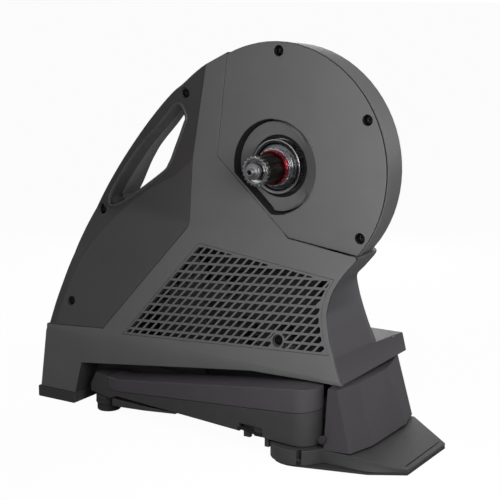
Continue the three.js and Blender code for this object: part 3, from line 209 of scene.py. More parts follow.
# Red anodised aluminium: a clear bright red over fine turning marks.
red_anodised = turned_metal("red anodised aluminium", "#8f2c38", "#5c1822", 0.26, 0.8, 0.01)
# Enamelled copper wire.
enamelled_copper = grained("enamelled copper", "#b4683c", "#7c3f20", 0.35, 1.0, 0.2, 0.9, 5.0)
# Solder mask of a circuit board.
solder_mask = grained("solder mask", "#25553a", "#173823", 0.4, 0.9, 0.03, blotch=8.0)

finish_of = {
    "shell": moulded_abs,
    "dark_shell": glass_nylon,
    "casting": powder_coat,
    "machined": turned_aluminium,
    "steel": ground_steel,
    "black_steel": black_oxide,
    "red_anodised": red_anodised,
    "rubber": moulded_rubber,
    "copper": enamelled_copper,
    "board": solder_mask,
}
slot_of = {p["node"]: p["material_slot"] for p in frame["record"]["subparts"]}
body_of = {n: b for b, members in frame["record"]["behaviour"]["bodies"].items() for n in members}

for name, node in nodes.items():
    node.data.materials.clear()
    node.data.materials.append(belt_rubber_vent_shade if name == "belt" else finish_of[slot_of[name]])


def dress(obj, body, slot, material, *stands_for):
    """Gives a finished piece its material, its body and the nodes it stands for. Its slot is not
    used.
    """
    if obj.name not in scene.collection.objects:
        scene.collection.objects.link(obj)
    obj.data.materials.clear()
    obj.data.materials.append(material)
    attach(obj, body)
    if stands_for:
        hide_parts(*stands_for)
    return obj


def round_edges(obj, width, segments=3, angle=30.0, weighted=False):
    """Rounds edges sharper than an angle, or weighted edges, over a width in millimetres."""
    bevel = obj.modifiers.new("rounded edges", "BEVEL")
    bevel.width, bevel.segments = width * MM, segments
    bevel.limit_method, bevel.angle_limit = "WEIGHT" if weighted else "ANGLE", math.radians(angle)
    bevel.harden_normals = True
    return obj


def make_flats_whole(shape):
    """Joins triangles that lie in one plane."""
    limit = math.radians(0.4)
    bmesh.ops.dissolve_limit(shape, angle_limit=limit, verts=shape.verts, edges=shape.edges)


def cut_across(shape, point, way):
    """Adds edges to a shape where a plane through a point, square to a direction, crosses it."""
    every = shape.verts[:] + shape.edges[:] + shape.faces[:]
    bmesh.ops.bisect_plane(shape, geom=every, plane_co=point, plane_no=way)


def finished_mesh(shape, mesh, sharp=30.0, reshape=None):
    """Turns an edited shape into its mesh, smooth but for the edges sharper than an angle. A
    reshape function may move its corners as one array."""
    shape.to_mesh(mesh)
    shape.free()
    if reshape:
        places = np.zeros(3 * len(mesh.vertices), np.float32)
        mesh.vertices.foreach_get("co", places)
        mesh.vertices.foreach_set("co", reshape(places.reshape(-1, 3)).astype(np.float32).ravel())
        mesh.update()
    mesh.polygons.foreach_set("use_smooth", np.ones(len(mesh.polygons), bool))
    mesh.set_sharp_from_angle(angle=math.radians(sharp))
    return mesh


def merged_copy(node, name, reshape=None, bends=(), sharp=30.0):
    """A copy of a solid's triangles with shared corners merged and flat faces made whole. It may
    be cut across at places where it has to bend, each a point and a direction, and a reshape
    function may move its corners, in millimetres from the hub."""
    mesh = nodes[node].data.copy()
    mesh.name = name
    shape = bmesh.new()
    shape.from_mesh(mesh)
    bmesh.ops.remove_doubles(shape, verts=shape.verts, dist=0.015 * MM)
    make_flats_whole(shape)
    for point, way in bends:
        cut_across(shape, (np.array([point[0], 0, point[1]]) + HUB) * MM, (way[0], 0, way[1]))
    from_hub = reshape and (lambda places: (reshape(places / MM - HUB) + HUB) * MM)
    return bpy.data.objects.new(name, finished_mesh(shape, mesh, sharp, from_hub))


def softened(node, width, material=None, segments=3, **shaping):
    """The solid of a node with its edges rounded, in the node's finish."""
    obj = round_edges(merged_copy(node, node + "_finished", **shaping), width, segments)
    return dress(obj, body_of[node], slot_of[node], material or finish_of[slot_of[node]], node)


def grid_mesh(name, points, close_along=False, close_across=False, sharp=30.0):
    """A surface over a grid of points in millimetres from the hub, the first index along it and
    the second across it. Either way round it may close on itself. Its faces are turned outwards."""
    along, across = points.shape[:2]
    index = np.arange(along * across).reshape(along, across)
    rows = np.arange(along if close_along else along - 1)
    columns = np.arange(across if close_across else across - 1)
    i, j = np.meshgrid(rows, columns, indexing="ij")
    i_next, j_next = (i + 1) % along, (j + 1) % across
    quads = np.stack([index[i, j], index[i_next, j], index[i_next, j_next], index[i, j_next]], -1)
    mesh = bpy.data.meshes.new(name)
    places = (points.reshape(-1, 3) + HUB) * MM
    mesh.from_pydata(places.tolist(), [], quads.reshape(-1, 4).tolist())
    shape = bmesh.new()
    shape.from_mesh(mesh)
    bmesh.ops.remove_doubles(shape, verts=shape.verts, dist=0.002 * MM)
    bmesh.ops.recalc_face_normals(shape, faces=shape.faces)
    return bpy.data.objects.new(name, finished_mesh(shape, mesh, sharp))


def unit(vectors):
    """Vectors shortened or lengthened to 1."""
    return vectors / np.linalg.norm(vectors, axis=-1, keepdims=True)


def bent(start, corner, end, t):
    """A quadratic curve from a start to an end, drawn towards a corner, at shares t of its way."""
    return (1 - t) ** 2 * start + 2 * t * (1 - t) * corner + t**2 * end


def eased(profile, radius, steps=4):
    """A closed profile with each corner turned into a short curve from a point on one side to a
    point on the next, both the radius from the corner, or 0.45 of a side if that is less."""
    corners = np.asarray(profile, float)
    before = np.roll(corners, 1, 0) - corners
    after = np.roll(corners, -1, 0) - corners
    lengths = [np.linalg.norm(side, axis=1)[:, None] for side in (before, after)]
    start = corners + before / lengths[0] * np.minimum(radius, lengths[0] * 0.45)
    end = corners + after / lengths[1] * np.minimum(radius, lengths[1] * 0.45)
    t = np.linspace(0, 1, steps + 1)[None, :, None]
    return bent(start[:, None], corners[:, None], end[:, None], t).reshape(-1, 2)


def turned(name, profile, centre=(0.0, HUB_HEIGHT), sides=72, ripple=None, upright=False):
    """A closed profile of (radius, y) turned about a line along y through a centre (x, z). A ripple
    adds to the radius by angle and radius. Upright, y and z change places."""
    angle = turns(sides)[:, None]
    radius, y = np.asarray(profile, float).T
    radius = np.broadcast_to(radius, (sides, len(radius)))
    if ripple:
        radius = radius + ripple(angle, radius)
    points = np.stack([
        centre[0] + radius * np.cos(angle),
        np.broadcast_to(y, radius.shape),
        centre[1] + radius * np.sin(angle),
    ], -1)
    points = points[..., [0, 2, 1]] if upright else points
    return grid_mesh(name, points, close_along=True, close_across=True)


def behind(shares):
    return np.asarray(shares) * (-REAR_REACH, HEIGHT)


def ahead(shares):
    return np.asarray(shares) * (NECK_REACH, HEIGHT)


def on_disc(shares):
    return np.asarray(shares) * DISC_RADIUS + (0, HUB_HEIGHT)


def turns(sides):
    """Angles of a full turn, without its end."""
    return np.linspace(0, 2 * np.pi, sides, endpoint=False)


def around(centre, radius, angle):
    """Points about a centre by angle, at a radius that may differ by angle."""
    return np.column_stack([radius * np.cos(angle), radius * np.sin(angle)]) + centre


def face_at(z):
    """The drive side's y by height: upright above the shoulder, leaning out to the band, then in
    to the floor."""
    return np.interp(z, (0, BAND, SHOULDER, HEIGHT), (-FOOT_SET_OUT, -BAND_SET_OUT, 0, 0))


def area_of(p):
    """The area in a closed outline, above 0 if it runs counterclockwise."""
    nxt = np.roll(p, -1, 0)
    return 0.5 * np.sum(p[:, 0] * nxt[:, 1] - nxt[:, 0] * p[:, 1])


def moved_in(outline, distance):
    """A closed outline moved inwards: each corner goes along the bisector of its sides."""
    p = np.asarray(outline, float)
    side = unit(np.roll(p, -1, 0) - p)
    after = np.column_stack([-side[:, 1], side[:, 0]]) * np.sign(area_of(p))
    before = np.roll(after, 1, 0)
    mitre = unit(before + after)
    reach = distance / np.maximum(np.sum(mitre * before, 1), 0.4)
    return p + mitre * reach[:, None]


WITH_HOLES = 2  # the triangulation's output that leaves out what lies in the inner outlines


def one_way(outline, clockwise):
    """An outline turned to run one way round."""
    p = np.asarray(outline, float)
    return p[::-1] if (area_of(p) > 0) == clockwise else p


def face_plate(name, outlines, start, thickness, follows=face_at):
    """A plate on the drive side: the region inside the first outline and outside the others, from
    a start depth behind the face to the thickness beyond, bent where the face bends. It is made
    lying flat, and its faces are turned over because standing it up mirrors it."""
    loops = [one_way(outline, k > 0) for k, outline in enumerate(outlines)]
    firsts = np.cumsum([0] + [len(loop) for loop in loops])
    rings = [list(range(first, after)) for first, after in zip(firsts[:-1], firsts[1:])]
    flat = delaunay_2d_cdt([Vector(p) for p in np.vstack(loops)], [], rings, WITH_HOLES, 1e-5)
    mesh = bpy.data.meshes.new(name)
    mesh.from_pydata([(*p, 0.0) for p in flat[0]], [], flat[2])
    shape = bmesh.new()
    shape.from_mesh(mesh)
    make_flats_whole(shape)
    for bend in (BAND, SHOULDER) if follows else ():
        cut_across(shape, (0, bend, 0), (0, 1, 0))
    grown = bmesh.ops.extrude_face_region(shape, geom=shape.faces[:], use_keep_orig=True)["geom"]
    raised = [part for part in grown if isinstance(part, bmesh.types.BMVert)]
    bmesh.ops.translate(shape, vec=(0, 0, thickness), verts=raised)
    bmesh.ops.recalc_face_normals(shape, faces=shape.faces)
    bmesh.ops.reverse_faces(shape, faces=shape.faces)

    def stood_up(flat_places):
        """Turns the flat plate's height to z and its thickness to y, on the face it follows."""
        x, z, depth = flat_places.T
        y = start + depth + (follows(z) if follows else 0)
        return (np.column_stack([x, y, z]) + HUB) * MM

    return bpy.data.objects.new(name, finished_mesh(shape, mesh, reshape=stood_up))


def swept(name, path, radius, sides=10, closed=True):
    """A round bead carried along a path of points: at each one, a circle across its direction."""
    path = np.asarray(path, float)
    way = unit(np.roll(path, -1, 0) - np.roll(path, 1, 0))
    side = unit(np.cross(way, (0, 1, 0)))
    up = np.cross(side, way)
    angle = turns(sides)[None, :, None]
    points = path[:, None] + radius * (np.cos(angle) * side[:, None] + np.sin(angle) * up[:, None])
    return grid_mesh(name, points, close_along=closed, close_across=True, sharp=60)


# Lines of the body on its drive side
back_line = behind([
    [0.283, 0.939], [0.387, 0.878], [0.501, 0.815], [0.598, 0.736], [0.682, 0.654], [0.778, 0.553],
    [0.825, 0.481], [0.857, 0.42], [0.894, 0.324], [0.917, 0.22], [0.933, 0.218],
])
bay_line = behind([[0.772, 0.124], [0.585, 0.141], [0.399, 0.157], [0.222, 0.173], [0.01, 0.191]])
seam_line = on_disc([[0.759, -0.648], [0.131, -0.566], [-0.554, 0.052], [-0.452, 0.903]])
neck_line = ahead([
    [0.899, 0.486], [0.775, 0.442], [0.702, 0.402], [0.678, 0.364], [0.69, 0.339], [0.736, 0.299],
    [0.778, 0.274], [0.808, 0.26], [0.849, 0.236], [0.897, 0.211], [0.94, FLOOR_SHARE],
])
handle_hole = behind([
    [0.488, 0.778], [0.599, 0.697], [0.723, 0.574], [0.686, 0.555], [0.489, 0.647], [0.447, 0.679],
    [0.418, 0.723], [0.383, 0.78], [0.374, 0.804], [0.409, 0.834],
])
grille_outline = np.vstack([
    behind([[0.305, 0.479], [0.576, 0.225]]),
    ahead([[0.762, 0.259], [0.683, 0.298], [0.631, 0.338], [0.623, 0.364]]),
    ahead([[0.643, 0.402], [0.698, 0.433]]),
])
shell_screws = behind([[0.373, 0.862], [0.762, 0.534], [0.839, 0.287]])
grille_screw = ahead([[0.217, 0.273]])[0]
hub_centre = (0, HUB_HEIGHT)
cover_screws = around(hub_centre, 134.5, np.radians([88, 27, -33]))
crease = np.array([[-96.0, 440.0], [-116.2, 327.6], [-122.3, 242.6], [-226.2, 107.9]])
column_seam = np.array([[-230.6, 108.1], [-315.3, 102.4]])
handle_seam = np.array([
    [-303.5, 103.6], [-299.5, 123.0], [-295.0, 144.0], [-288.4, 165.1], [-279.8, 184.3],
    [-267.6, 206.0], [-252.4, 226.7], [-234.5, 246.5], [-207.4, 268.6], [-174.8, 288.8],
    [-140.4, 306.5],
])

# Smooth curves in place of the straight stretches of the back, the handle's opening and the neck


def curve_through(points, steps, before=None, beyond=None):
    """A cubic curve through a row of points, each one's slope from its two neighbours. Without a
    point before the first and one beyond the last, the row is closed."""
    closed = before is None
    p = np.asarray(points, float)
    row = np.vstack([p[-1:], p, p[:2]]) if closed else np.vstack([[before], p, [beyond]])
    a, b, c, d = row[:-3, None], row[1:-2, None], row[2:-1, None], row[3:, None]
    t = np.linspace(0, 1, steps, endpoint=False)[None, :, None]
    square, cube = 2 * a - 5 * b + 4 * c - d, 3 * b - a - 3 * c + d
    curve = 0.5 * (2 * b + (c - a) * t + square * t**2 + cube * t**3)
    curve = curve.reshape(-1, p.shape[1])
    return curve if closed else np.vstack([curve, p[-1:]])


# The back's curve is smoothed by a polynomial pinned at its ends, so that small errors of the
# points don't show as waves
EASE_STEPS = 5
below_back = 2 * back_line[-2] - back_line[-3]
back_curve = curve_through(back_line[:-1], EASE_STEPS, (-65.5, 455.9), below_back)
run = np.linspace(0, 1, len(back_curve) - EASE_STEPS)
pinned = np.where((run == 0) | (run == 1), 30.0, 1.0)
back_curve[EASE_STEPS:] = np.column_stack([
    np.polyval(np.polyfit(run, column, 5, w=pinned), run) for column in back_curve[EASE_STEPS:].T
])
hole_curve = curve_through(handle_hole, EASE_STEPS)
neck_curve = curve_through(neck_line, EASE_STEPS, (119.0, 240.0), (124.0, 80.0))


def chords_of(corners, curve, closed):
    """Points along the chords between a line's corners, the curve's points that they move to, and
    each one's direction along its chord."""
    ends = np.roll(corners, -1, 0) if closed else corners[1:]
    starts = corners if closed else corners[:-1]
    t = np.linspace(0, 1, EASE_STEPS, endpoint=False)[None, :, None]
    chord = (starts[:, None] * (1 - t) + ends[:, None] * t).reshape(-1, 2)
    way = np.repeat(unit(ends - starts), EASE_STEPS, 0)
    if closed:
        return np.vstack([chord, chord[:1]]), np.vstack([curve, curve[:1]]), way
    return np.vstack([chord, corners[-1:]]), curve, way


# How far outside the curve the photograph's outline lies, as (height, distance)
OUTLINE_STEPS = [
    [103, 2.8], [128, 2.8], [143, 2.2], [159, 1.4], [190, 0.6], [222, 0.2], [253, 1.2], [285, 1.0],
    [318, 0.2], [349, -0.7], [380, -0.8], [396, 0.3], [411, 2.5], [426, 1.9], [436, 0.8], [441, 0],
]
back_way = unit(np.gradient(back_curve, axis=0))
outward = np.interp(back_curve[:, 1], *np.array(OUTLINE_STEPS).T)[:, None]
back_curve += outward * np.column_stack([back_way[:, 1], -back_way[:, 0]])

NECK_BENDS = 92.0, 228.0  # heights between which the shells bend along the neck
eased_lines = [  # each line's chords, curve and directions, and how near to it a corner has to lie
    (*chords_of(back_line[:-1], back_curve, False), 9.0),
    (*chords_of(handle_hole, hole_curve, True), 3.0),
    (*chords_of(neck_line, neck_curve, False), 4.0),
]
body_bends = [
    (point, way)
    for chord, curve, ways, _ in eased_lines[:2]
    for k, (point, way) in enumerate(zip(chord, ways))
    if k % EASE_STEPS
]
body_bends += [
    ((0.0, z), (0.0, 1.0)) for z in neck_curve[:, 1] if NECK_BENDS[0] < z < NECK_BENDS[1]
]


def eased_corners(corners):
    """Moves each corner near one of the lines by the step from the chord to the curve there: by
    all of it up to 0.375 of the line's reach, and then by less, to none at the reach."""
    moved = corners.copy()
    for chord, curve, _, reach in eased_lines:
        start, stretch = chord[:-1], np.diff(chord, axis=0)
        off = corners[:, None, [0, 2]] - start[None]
        t = np.clip(np.sum(off * stretch, 2) / np.sum(stretch * stretch, 1), 0, 1)
        gap = np.linalg.norm(off - t[..., None] * stretch, axis=2)
        near = np.argmin(gap, 1)
        each = np.arange(len(near))
        share = np.clip(1.6 - 1.6 * gap[each, near] / reach, 0, 1)[:, None]
        t = t[each, near][:, None]
        step = (curve - chord)[near] * (1 - t) + (curve - chord)[near + 1] * t
        moved[:, [0, 2]] += step * share
    return moved


# The drive side shell. Its face is sunk a little, and carries the body's plate, which stands proud
# of the panel, which stands proud of the handle.
FACE_SINK = 0.9
PANEL_STEP = 0.2  # how far the panel's plate lies behind the body's
PLATE_ROOT = 0.4  # how deep the body's plate sits in the shell


def sunk_face(corners):
    """Sinks the corners on the drive side's face, and eases the outlines."""
    x, y, z = corners.T
    on_face = np.abs(y - face_at(z)) < 0.06
    return eased_corners(np.column_stack([x, np.where(on_face, y + FACE_SINK, y), z]))


def weigh_edges(obj, line):
    """Gives a shell's edges a bevel weight: full where its face meets the handle's back, near a
    line of points, and light on every other edge sharper than 30 degrees."""
    mesh = obj.data
    shape = bmesh.new()
    shape.from_mesh(mesh)
    sharp = np.array([e.calc_face_angle(0.0) > math.radians(30) for e in shape.edges])
    ends = np.array([[e.verts[0].co, e.verts[1].co] for e in shape.edges]) / MM - HUB
    shape.free()
    on_face = np.all(np.abs(ends[..., 1] - face_at(ends[..., 2]) - FACE_SINK) < 0.1, 1)
    gap = np.min(np.linalg.norm(ends.mean(1)[:, None, [0, 2]] - line[None], axis=2), 1)
    weights = np.where(sharp, np.where(on_face & (gap < 2.5), 1.0, 0.1), 0.0)
    layer = mesh.attributes.new("bevel_weight_edge", "FLOAT", "EDGE")
    layer.data.foreach_set("value", weights.astype(np.float32))
    return obj


between = np.linspace(0, 1, 8)[:, None, None]
back_samples = (back_curve[:-1] * (1 - between) + back_curve[1:] * between).reshape(-1, 2)
drive_shell = merged_copy("drive_side_shell", "drive_side_shell_finished", sunk_face, body_bends)
round_edges(weigh_edges(drive_shell, back_samples), 7.5, 6, weighted=True)
dress(drive_shell, "frame", "shell", shaded_handle_abs, "drive_side_shell")

body_outline = np.vstack([
    [[-275.13, 15.3], [-260.94, 58.28]],
    bay_line[1:],
    [[61.74, 90.71], [118.44, 90.71]],
    neck_curve[::-1][1:],
    seam_line,
    [[-95.65, 441.33]],
    crease,
    column_seam,
    [[-332.93, 15.3]],
])
SCREW_HOLE, GRILLE_SCREW_HOLE = 6.5, 7.2  # radii
body_loops = [moved_in(body_outline, 0.35), moved_in(grille_outline, -0.3)]
body_plate = face_plate("body_face", body_loops, 0.0, FACE_SINK + PLATE_ROOT)
round_edges(body_plate, 0.4, 2)
dress(body_plate, "frame", "shell", moulded_abs)
panel_outline = np.vstack([crease[1:], column_seam[:1], handle_seam])
panel_bore = around(shell_screws[2], SCREW_HOLE - 0.4, turns(32))
panel_loops = [moved_in(panel_outline, 0.5), panel_bore]
panel_plate = face_plate("panel_face", panel_loops, PANEL_STEP, FACE_SINK)
round_edges(panel_plate, 0.4, 2)
dress(panel_plate, "frame", "shell", panel_abs)

# A bead round the handle's opening
bead_x, bead_z = moved_in(hole_curve, -0.9).T
bead_path = np.column_stack([bead_x, face_at(bead_z) + FACE_SINK + 0.3, bead_z])
dress(swept("handle_bead", bead_path, 2.1), "frame", "shell", panel_abs)

# Screws in the face: black oxide heads with a hexagon socket, deep in their bores and painted
# nearly black for their shade
SOCKET = 2.5  # the socket's radius
SHELL_SEAT, COVER_SEAT = 3.1, 6.0  # how far the heads lie behind the body's face and the cover's


def screw_head(name, centre, face, *stands_for):
    """A button head on a short shank, dressed. Its profile is turned from the face's y backwards,
    and its socket's wall with a six-sided ripple."""
    profile = eased([
        [0.02, face + 1.9], [SOCKET, face + 1.9], [SOCKET, face], [4.9, face], [5.25, face + 2.4],
        [2.95, face + 2.4], [2.95, face + 9.0], [0.02, face + 9.0],
    ], 0.5, 3)

    def hexagon(angle, radius):
        """Changes the socket's round wall to six flats."""
        within = (angle + np.pi / 6) % (np.pi / 3) - np.pi / 6
        flats = SOCKET * 0.92 / np.cos(within)
        return np.where((radius > 1.0) & (radius < SOCKET + 0.3), flats - SOCKET, 0.0)

    head = turned(name + "_head", profile, centre, 48, hexagon)
    dress(head, "frame", "black_steel", bore_shaded_oxide, *stands_for)


for number, centre in enumerate(cover_screws, 1):
    screw_head(f"cover_screw_{number}", centre, COVER_SEAT, f"cover_screw_{number}")
for number, centre in enumerate(shell_screws, 1):
    screw_head(f"shell_screw_{number}", centre, face_at(centre[1]) + SHELL_SEAT)
screw_head("grille_screw", grille_screw, face_at(grille_screw[1]) + SHELL_SEAT)

# Grille: leaning holes in rows that rise to the front, cut off where they meet the border


def left_of(a, b):
    """The direction to the left of the way from a to b."""
    return unit(np.array([a[1] - b[1], b[0] - a[0]]))


def cut_off(hole, point, inward):
    """The part of a hole on the inward side of a line, or nothing if too little is left."""
    height = (hole - point) @ inward
    ahead_of = np.roll(height, -1)
    share = height / np.where(height == ahead_of, 1.0, height - ahead_of)
    cross = hole + (np.roll(hole, -1, 0) - hole) * share[:, None]
    both = np.stack([hole, cross], 1).reshape(-1, 2)
    kept = both[np.stack([height >= 0, height * ahead_of < 0], 1).ravel()]
    return kept if len(kept) > 2 and abs(area_of(kept)) > SMALLEST_HOLE else None


def clipped(hole, border):
    """The part of a hole that lies inside the border: it is cut by each border side near it."""
    centre = hole.mean(0)
    for a, b in zip(border, np.roll(border, -1, 0)):
        share = np.clip(np.dot(centre - a, b - a) / np.dot(b - a, b - a), 0, 1)
        if hole is not None and np.linalg.norm(a + share * (b - a) - centre) < HOLE_REACH:
            hole = cut_off(hole, a, left_of(a, b))
    return hole


def clear_of_screw(hole):
    """A hole less what comes too near to the grille's screw."""
    way = hole.mean(0) - grille_screw
    way /= max(np.linalg.norm(way), 0.1)
    return cut_off(hole, grille_screw + way * (GRILLE_SCREW_HOLE + SCREW_RIM), way)


def inside(point, outline):
    """Whether a line from a point to the right crosses an outline an odd number of times."""
    a, b = outline, np.roll(outline, -1, 0)
    level = (a[:, 1] > point[1]) != (b[:, 1] > point[1])
    start, way = a[level], (b - a)[level]
    x = start[:, 0] + (point[1] - start[:, 1]) * way[:, 0] / way[:, 1]
    return np.count_nonzero(point[0] < x) % 2 == 1


COLUMN_PITCH, ROW_PITCH = 11.8, 10.2
HOLE_WIDTH, HOLE_HEIGHT, HOLE_LEAN = 8.5, 8.1, 6.8
HOLE_REACH = 9.0  # a border side farther than this from a hole's middle doesn't touch it
SMALLEST_HOLE = 9.0  # in square millimetres
BORDER_WIDTH, SCREW_RIM = 2.6, 1.6
border = moved_in(grille_outline, BORDER_WIDTH)
corner = grille_outline[1]
rise = math.tan(math.radians(3.7))
lean_way = HOLE_LEAN * ROW_PITCH / HOLE_HEIGHT
grille_holes = []
for row in range(-1, 13):  # more rows and columns than the outline holds
    for column in range(-6, 24):
        x = corner[0] + column * COLUMN_PITCH + row * lean_way
        z = corner[1] + row * ROW_PITCH - 1.0 + (x - corner[0]) * rise
        step = HOLE_WIDTH * rise
        hole = np.array([
            [x, z], [x + HOLE_WIDTH, z + step],
            [x + HOLE_WIDTH + HOLE_LEAN, z + step + HOLE_HEIGHT], [x + HOLE_LEAN, z + HOLE_HEIGHT],
        ])
        if any(inside(p, border) for p in hole):
            hole = clipped(hole, border)
            hole = hole if hole is None else clear_of_screw(hole)
            if hole is not None:
                grille_holes.append(hole)
grille_rim = [moved_in(grille_outline, 0.1), around(grille_screw, GRILLE_SCREW_HOLE, turns(32))]
grille = face_plate("vent_grille_finished", grille_rim + grille_holes, 0.5, 1.4)
round_edges(grille, 0.25, 1)
dress(grille, "frame", "dark_shell", moulded_abs, "vent_grille")

# Disc cover: a thin face plate with a rounded rim, a smaller backing behind it, painted black as
# the shade of the groove it leaves before the drum, and the scooped dish around the hub


def beside_seam(outline, gap):
    """Cuts an outline along the seam's three lines, leaving the side that the disc lies on."""
    for a, b in zip(seam_line[:-1], seam_line[1:]):
        outline = cut_off(outline, a - gap * left_of(a, b), -left_of(a, b))
    return outline


DISH_RADIUS, DISH_BOTTOM, DISH_DEPTH = 56.5, 37.7, 12.0
DISH_LIP = 0.35  # the dish's rim lies this far behind the disc's face
GROOVE_WIDTH = 3.9  # how far in from the rim the steep wall is painted black as shade
DISC_EDGE, BACKING_EDGE = 144.5, 143.9  # radii
seam_way = unit(seam_line[2] - seam_line[1])
flat_angle = math.atan2(-abs(seam_way[0]), -abs(seam_way[1]))
FLAT_FROM_HUB = 45.2


def dish_edge(angle):
    """The dish's rim: a circle, cut off by a straight line beside the seam."""
    off = np.cos(angle - flat_angle)
    to_line = np.minimum(DISH_RADIUS, FLAT_FROM_HUB / np.maximum(off, 0.1))
    return np.where(off > 0.1, to_line, DISH_RADIUS)


def scooped(angle):
    """How steep the dish's wall is by angle: 1 where it drops straight, 0 where it slopes."""
    return np.interp(np.degrees(angle) % 360, (30, 105, 278, 330), (0, 1, 1, 0))


dish_angles = turns(180)
dish_rim = dish_edge(dish_angles)
cover_holes = [around(at, SCREW_HOLE, turns(32)) for at in cover_screws]
disc_outline = beside_seam(around(hub_centre, DISC_EDGE, dish_angles), 0.45)
disc_loops = [disc_outline, around(hub_centre, dish_rim, dish_angles), *cover_holes]
disc_plate = face_plate("disc_cover_face", disc_loops, 0.0, 1.2, None)
round_edges(disc_plate, 0.45, 3, angle=40)
dress(disc_plate, "frame", "shell", moulded_abs, "disc_cover")
# The backing is painted shade: black where the groove behind the disc cover's rim lies in shade.
backing_bores = [around(at, SCREW_HOLE - 0.7, turns(32)) for at in cover_screws]
backing_outline = beside_seam(around(hub_centre, BACKING_EDGE, dish_angles), 0.8)
backing_loops = [backing_outline, around(hub_centre, dish_rim + 0.6, dish_angles), *backing_bores]
backing = face_plate("disc_cover_backing", backing_loops, 1.1, 4.0, None)
dress(backing, "frame", "shell", painted_shade_black)

# The dish's wall, from its rim in to its bottom: even steps where it slopes evenly, and a deep
# groove behind the rim where it drops straight, its faces painted black as shade
way_in = np.linspace(0, 1, 41)[None, :]
steep = scooped(dish_angles)[:, None]
knots = (0.0, 0.3, 0.45, 0.6, 1.0)
groove_in = np.interp(way_in, knots, (0.0, 0.02, 0.13, 0.2, 1.0))
groove_down = np.interp(way_in, knots, (0.0, 1.3, 1.34, 0.93, 1.0))
share_in = (1 - steep) * way_in + steep * groove_in
share_down = (1 - steep) * way_in + steep * groove_down
dish_r = dish_rim[:, None] + (DISH_BOTTOM - dish_rim[:, None]) * share_in
dish_y = DISH_LIP + (DISH_DEPTH - DISH_LIP) * share_down
lip_r = np.concatenate([dish_r, dish_r[:, -1:], dish_r[:, -1:] + 2.0], 1)
lip_y = np.concatenate([dish_y, dish_y[:, -1:] + 2.2, dish_y[:, -1:] + 2.2], 1)
dish_turn = dish_angles[:, None]
dish = grid_mesh(
    "hub_dish",
    np.stack([lip_r * np.cos(dish_turn), lip_y, HUB_HEIGHT + lip_r * np.sin(dish_turn)], -1),
    close_along=True,
    sharp=50,
)
wall = dish.modifiers.new("wall", "SOLIDIFY")
wall.thickness, wall.offset = 0.8 * MM, -1
dress(dish, "frame", "shell", moulded_abs)
# The groove's faces take the second material: black, as painted shade of the steep wall.
dish.data.materials.append(painted_shade_black)
middles = np.zeros(3 * len(dish.data.polygons))
dish.data.polygons.foreach_get("center", middles)
middle_x, middle_y, middle_z = (middles.reshape(-1, 3) / MM - HUB).T
about = np.arctan2(middle_z - HUB_HEIGHT, middle_x)
from_rim = dish_edge(about) - np.hypot(middle_x, middle_z - HUB_HEIGHT)
in_groove = (from_rim < GROOVE_WIDTH) & (scooped(about) > 0.35) & (middle_y > 0.9)
dish.data.polygons.foreach_set("material_index", in_groove.astype(np.int32))
# A black ring of painted shade, closing the gap between the hub's flange and the dish
gap_shade_profile = [[32.6, 14.2], [41.0, 14.2], [41.0, 15.6], [32.6, 15.6]]
gap_shade_ring = turned("hub_dust_seal", gap_shade_profile, sides=96)
dress(gap_shade_ring, "frame", "rubber", painted_shade_black)


def notched(count, depth, share, lowest):
    """Notches in everything beyond a radius: each turn is split into a count of teeth, and the
    share of each that is a gap sinks by the depth, with short ramps."""

    def ripple(angle, radius):
        within = (angle * count / (2 * np.pi)) % 1
        sink = np.clip((share / 2 - np.abs(within - 0.5)) / 0.04 + 0.5, 0, 1)
        return np.where(radius > lowest, -depth * sink, 0.0)

    return ripple


# Hub flange, stepped and dished, with a bright rim, the freehub's notched rings and splined body,
# and the end cap
TURNED = [  # name, body, slot, finish, sides, teeth, size of the corners, profile, solid stood for
    ("hub_flange_finished", "hub", "machined", polished_dark, 120, None, 0.7, [
        [13.5, 3.8], [20.0, 3.8], [21.5, 6.0], [26.5, 6.6], [28.8, 3.9], [31.9, 3.6], [31.9, 8.4],
        [24.0, 8.5], [24.0, 33.0], [13.5, 33.0],
    ], "hub_shell"),
    ("hub_flange_rim", "hub", "machined", turned_aluminium, 120, None, 0.4, [
        [30.4, 3.52], [32.0, 3.52], [32.0, 5.6], [30.4, 5.6],
    ]),
    ("freehub_silver_ring", "freehub", "machined", turned_aluminium, 288,
     notched(18, 0.9, 0.34, 21.0), 0.35, [
        [18.2, -2.6], [22.4, -2.6], [22.4, 0.4], [19.0, 2.0], [18.2, 2.0],
    ]),
    ("freehub_red_ring_finished", "freehub", "red_anodised", red_anodised, 288,
     notched(24, 0.8, 0.3, 19.9), 0.3, [
        [14.0, -6.5], [17.6, -6.5], [17.6, -8.0], [20.3, -8.0], [20.5, -5.6], [19.4, -4.6],
        [20.5, -3.8], [20.4, -3.0], [14.0, -3.0],
    ], "freehub_red_ring"),
    ("freehub_body_finished", "freehub", "black_steel", black_oxide, 324,
     notched(9, 1.6, 0.45, 15.5), 0.3, [
        [9.2, -36.7], [16.9, -36.7], [17.3, -36.2], [17.3, -7.2], [16.8, -6.8], [13.7, -6.8],
        [13.7, 3.2], [9.2, 3.2],
    ], "freehub_body"),
    ("freehub_end_ring_finished", "freehub", "machined", turned_aluminium, 360,
     notched(20, 1.5, 0.5, 15.8), 0.3, [
        [13.2, -43.0], [17.2, -43.0], [17.3, -37.2], [9.2, -37.2], [9.2, -39.2], [13.2, -39.8],
    ], "freehub_end_ring"),
    ("end_cap_drive_side_finished", "frame", "machined", satin_aluminium, 96, None, 0.4, [
        [2.7, -55.5], [4.6, -55.5], [4.9, -50.0], [6.3, -50.0], [6.6, -48.9], [9.2, -48.9],
        [9.5, -47.6], [9.5, -43.4], [4.7, -43.4], [4.7, -35.0], [2.7, -35.0],
    ], "end_cap_drive_side"),
]
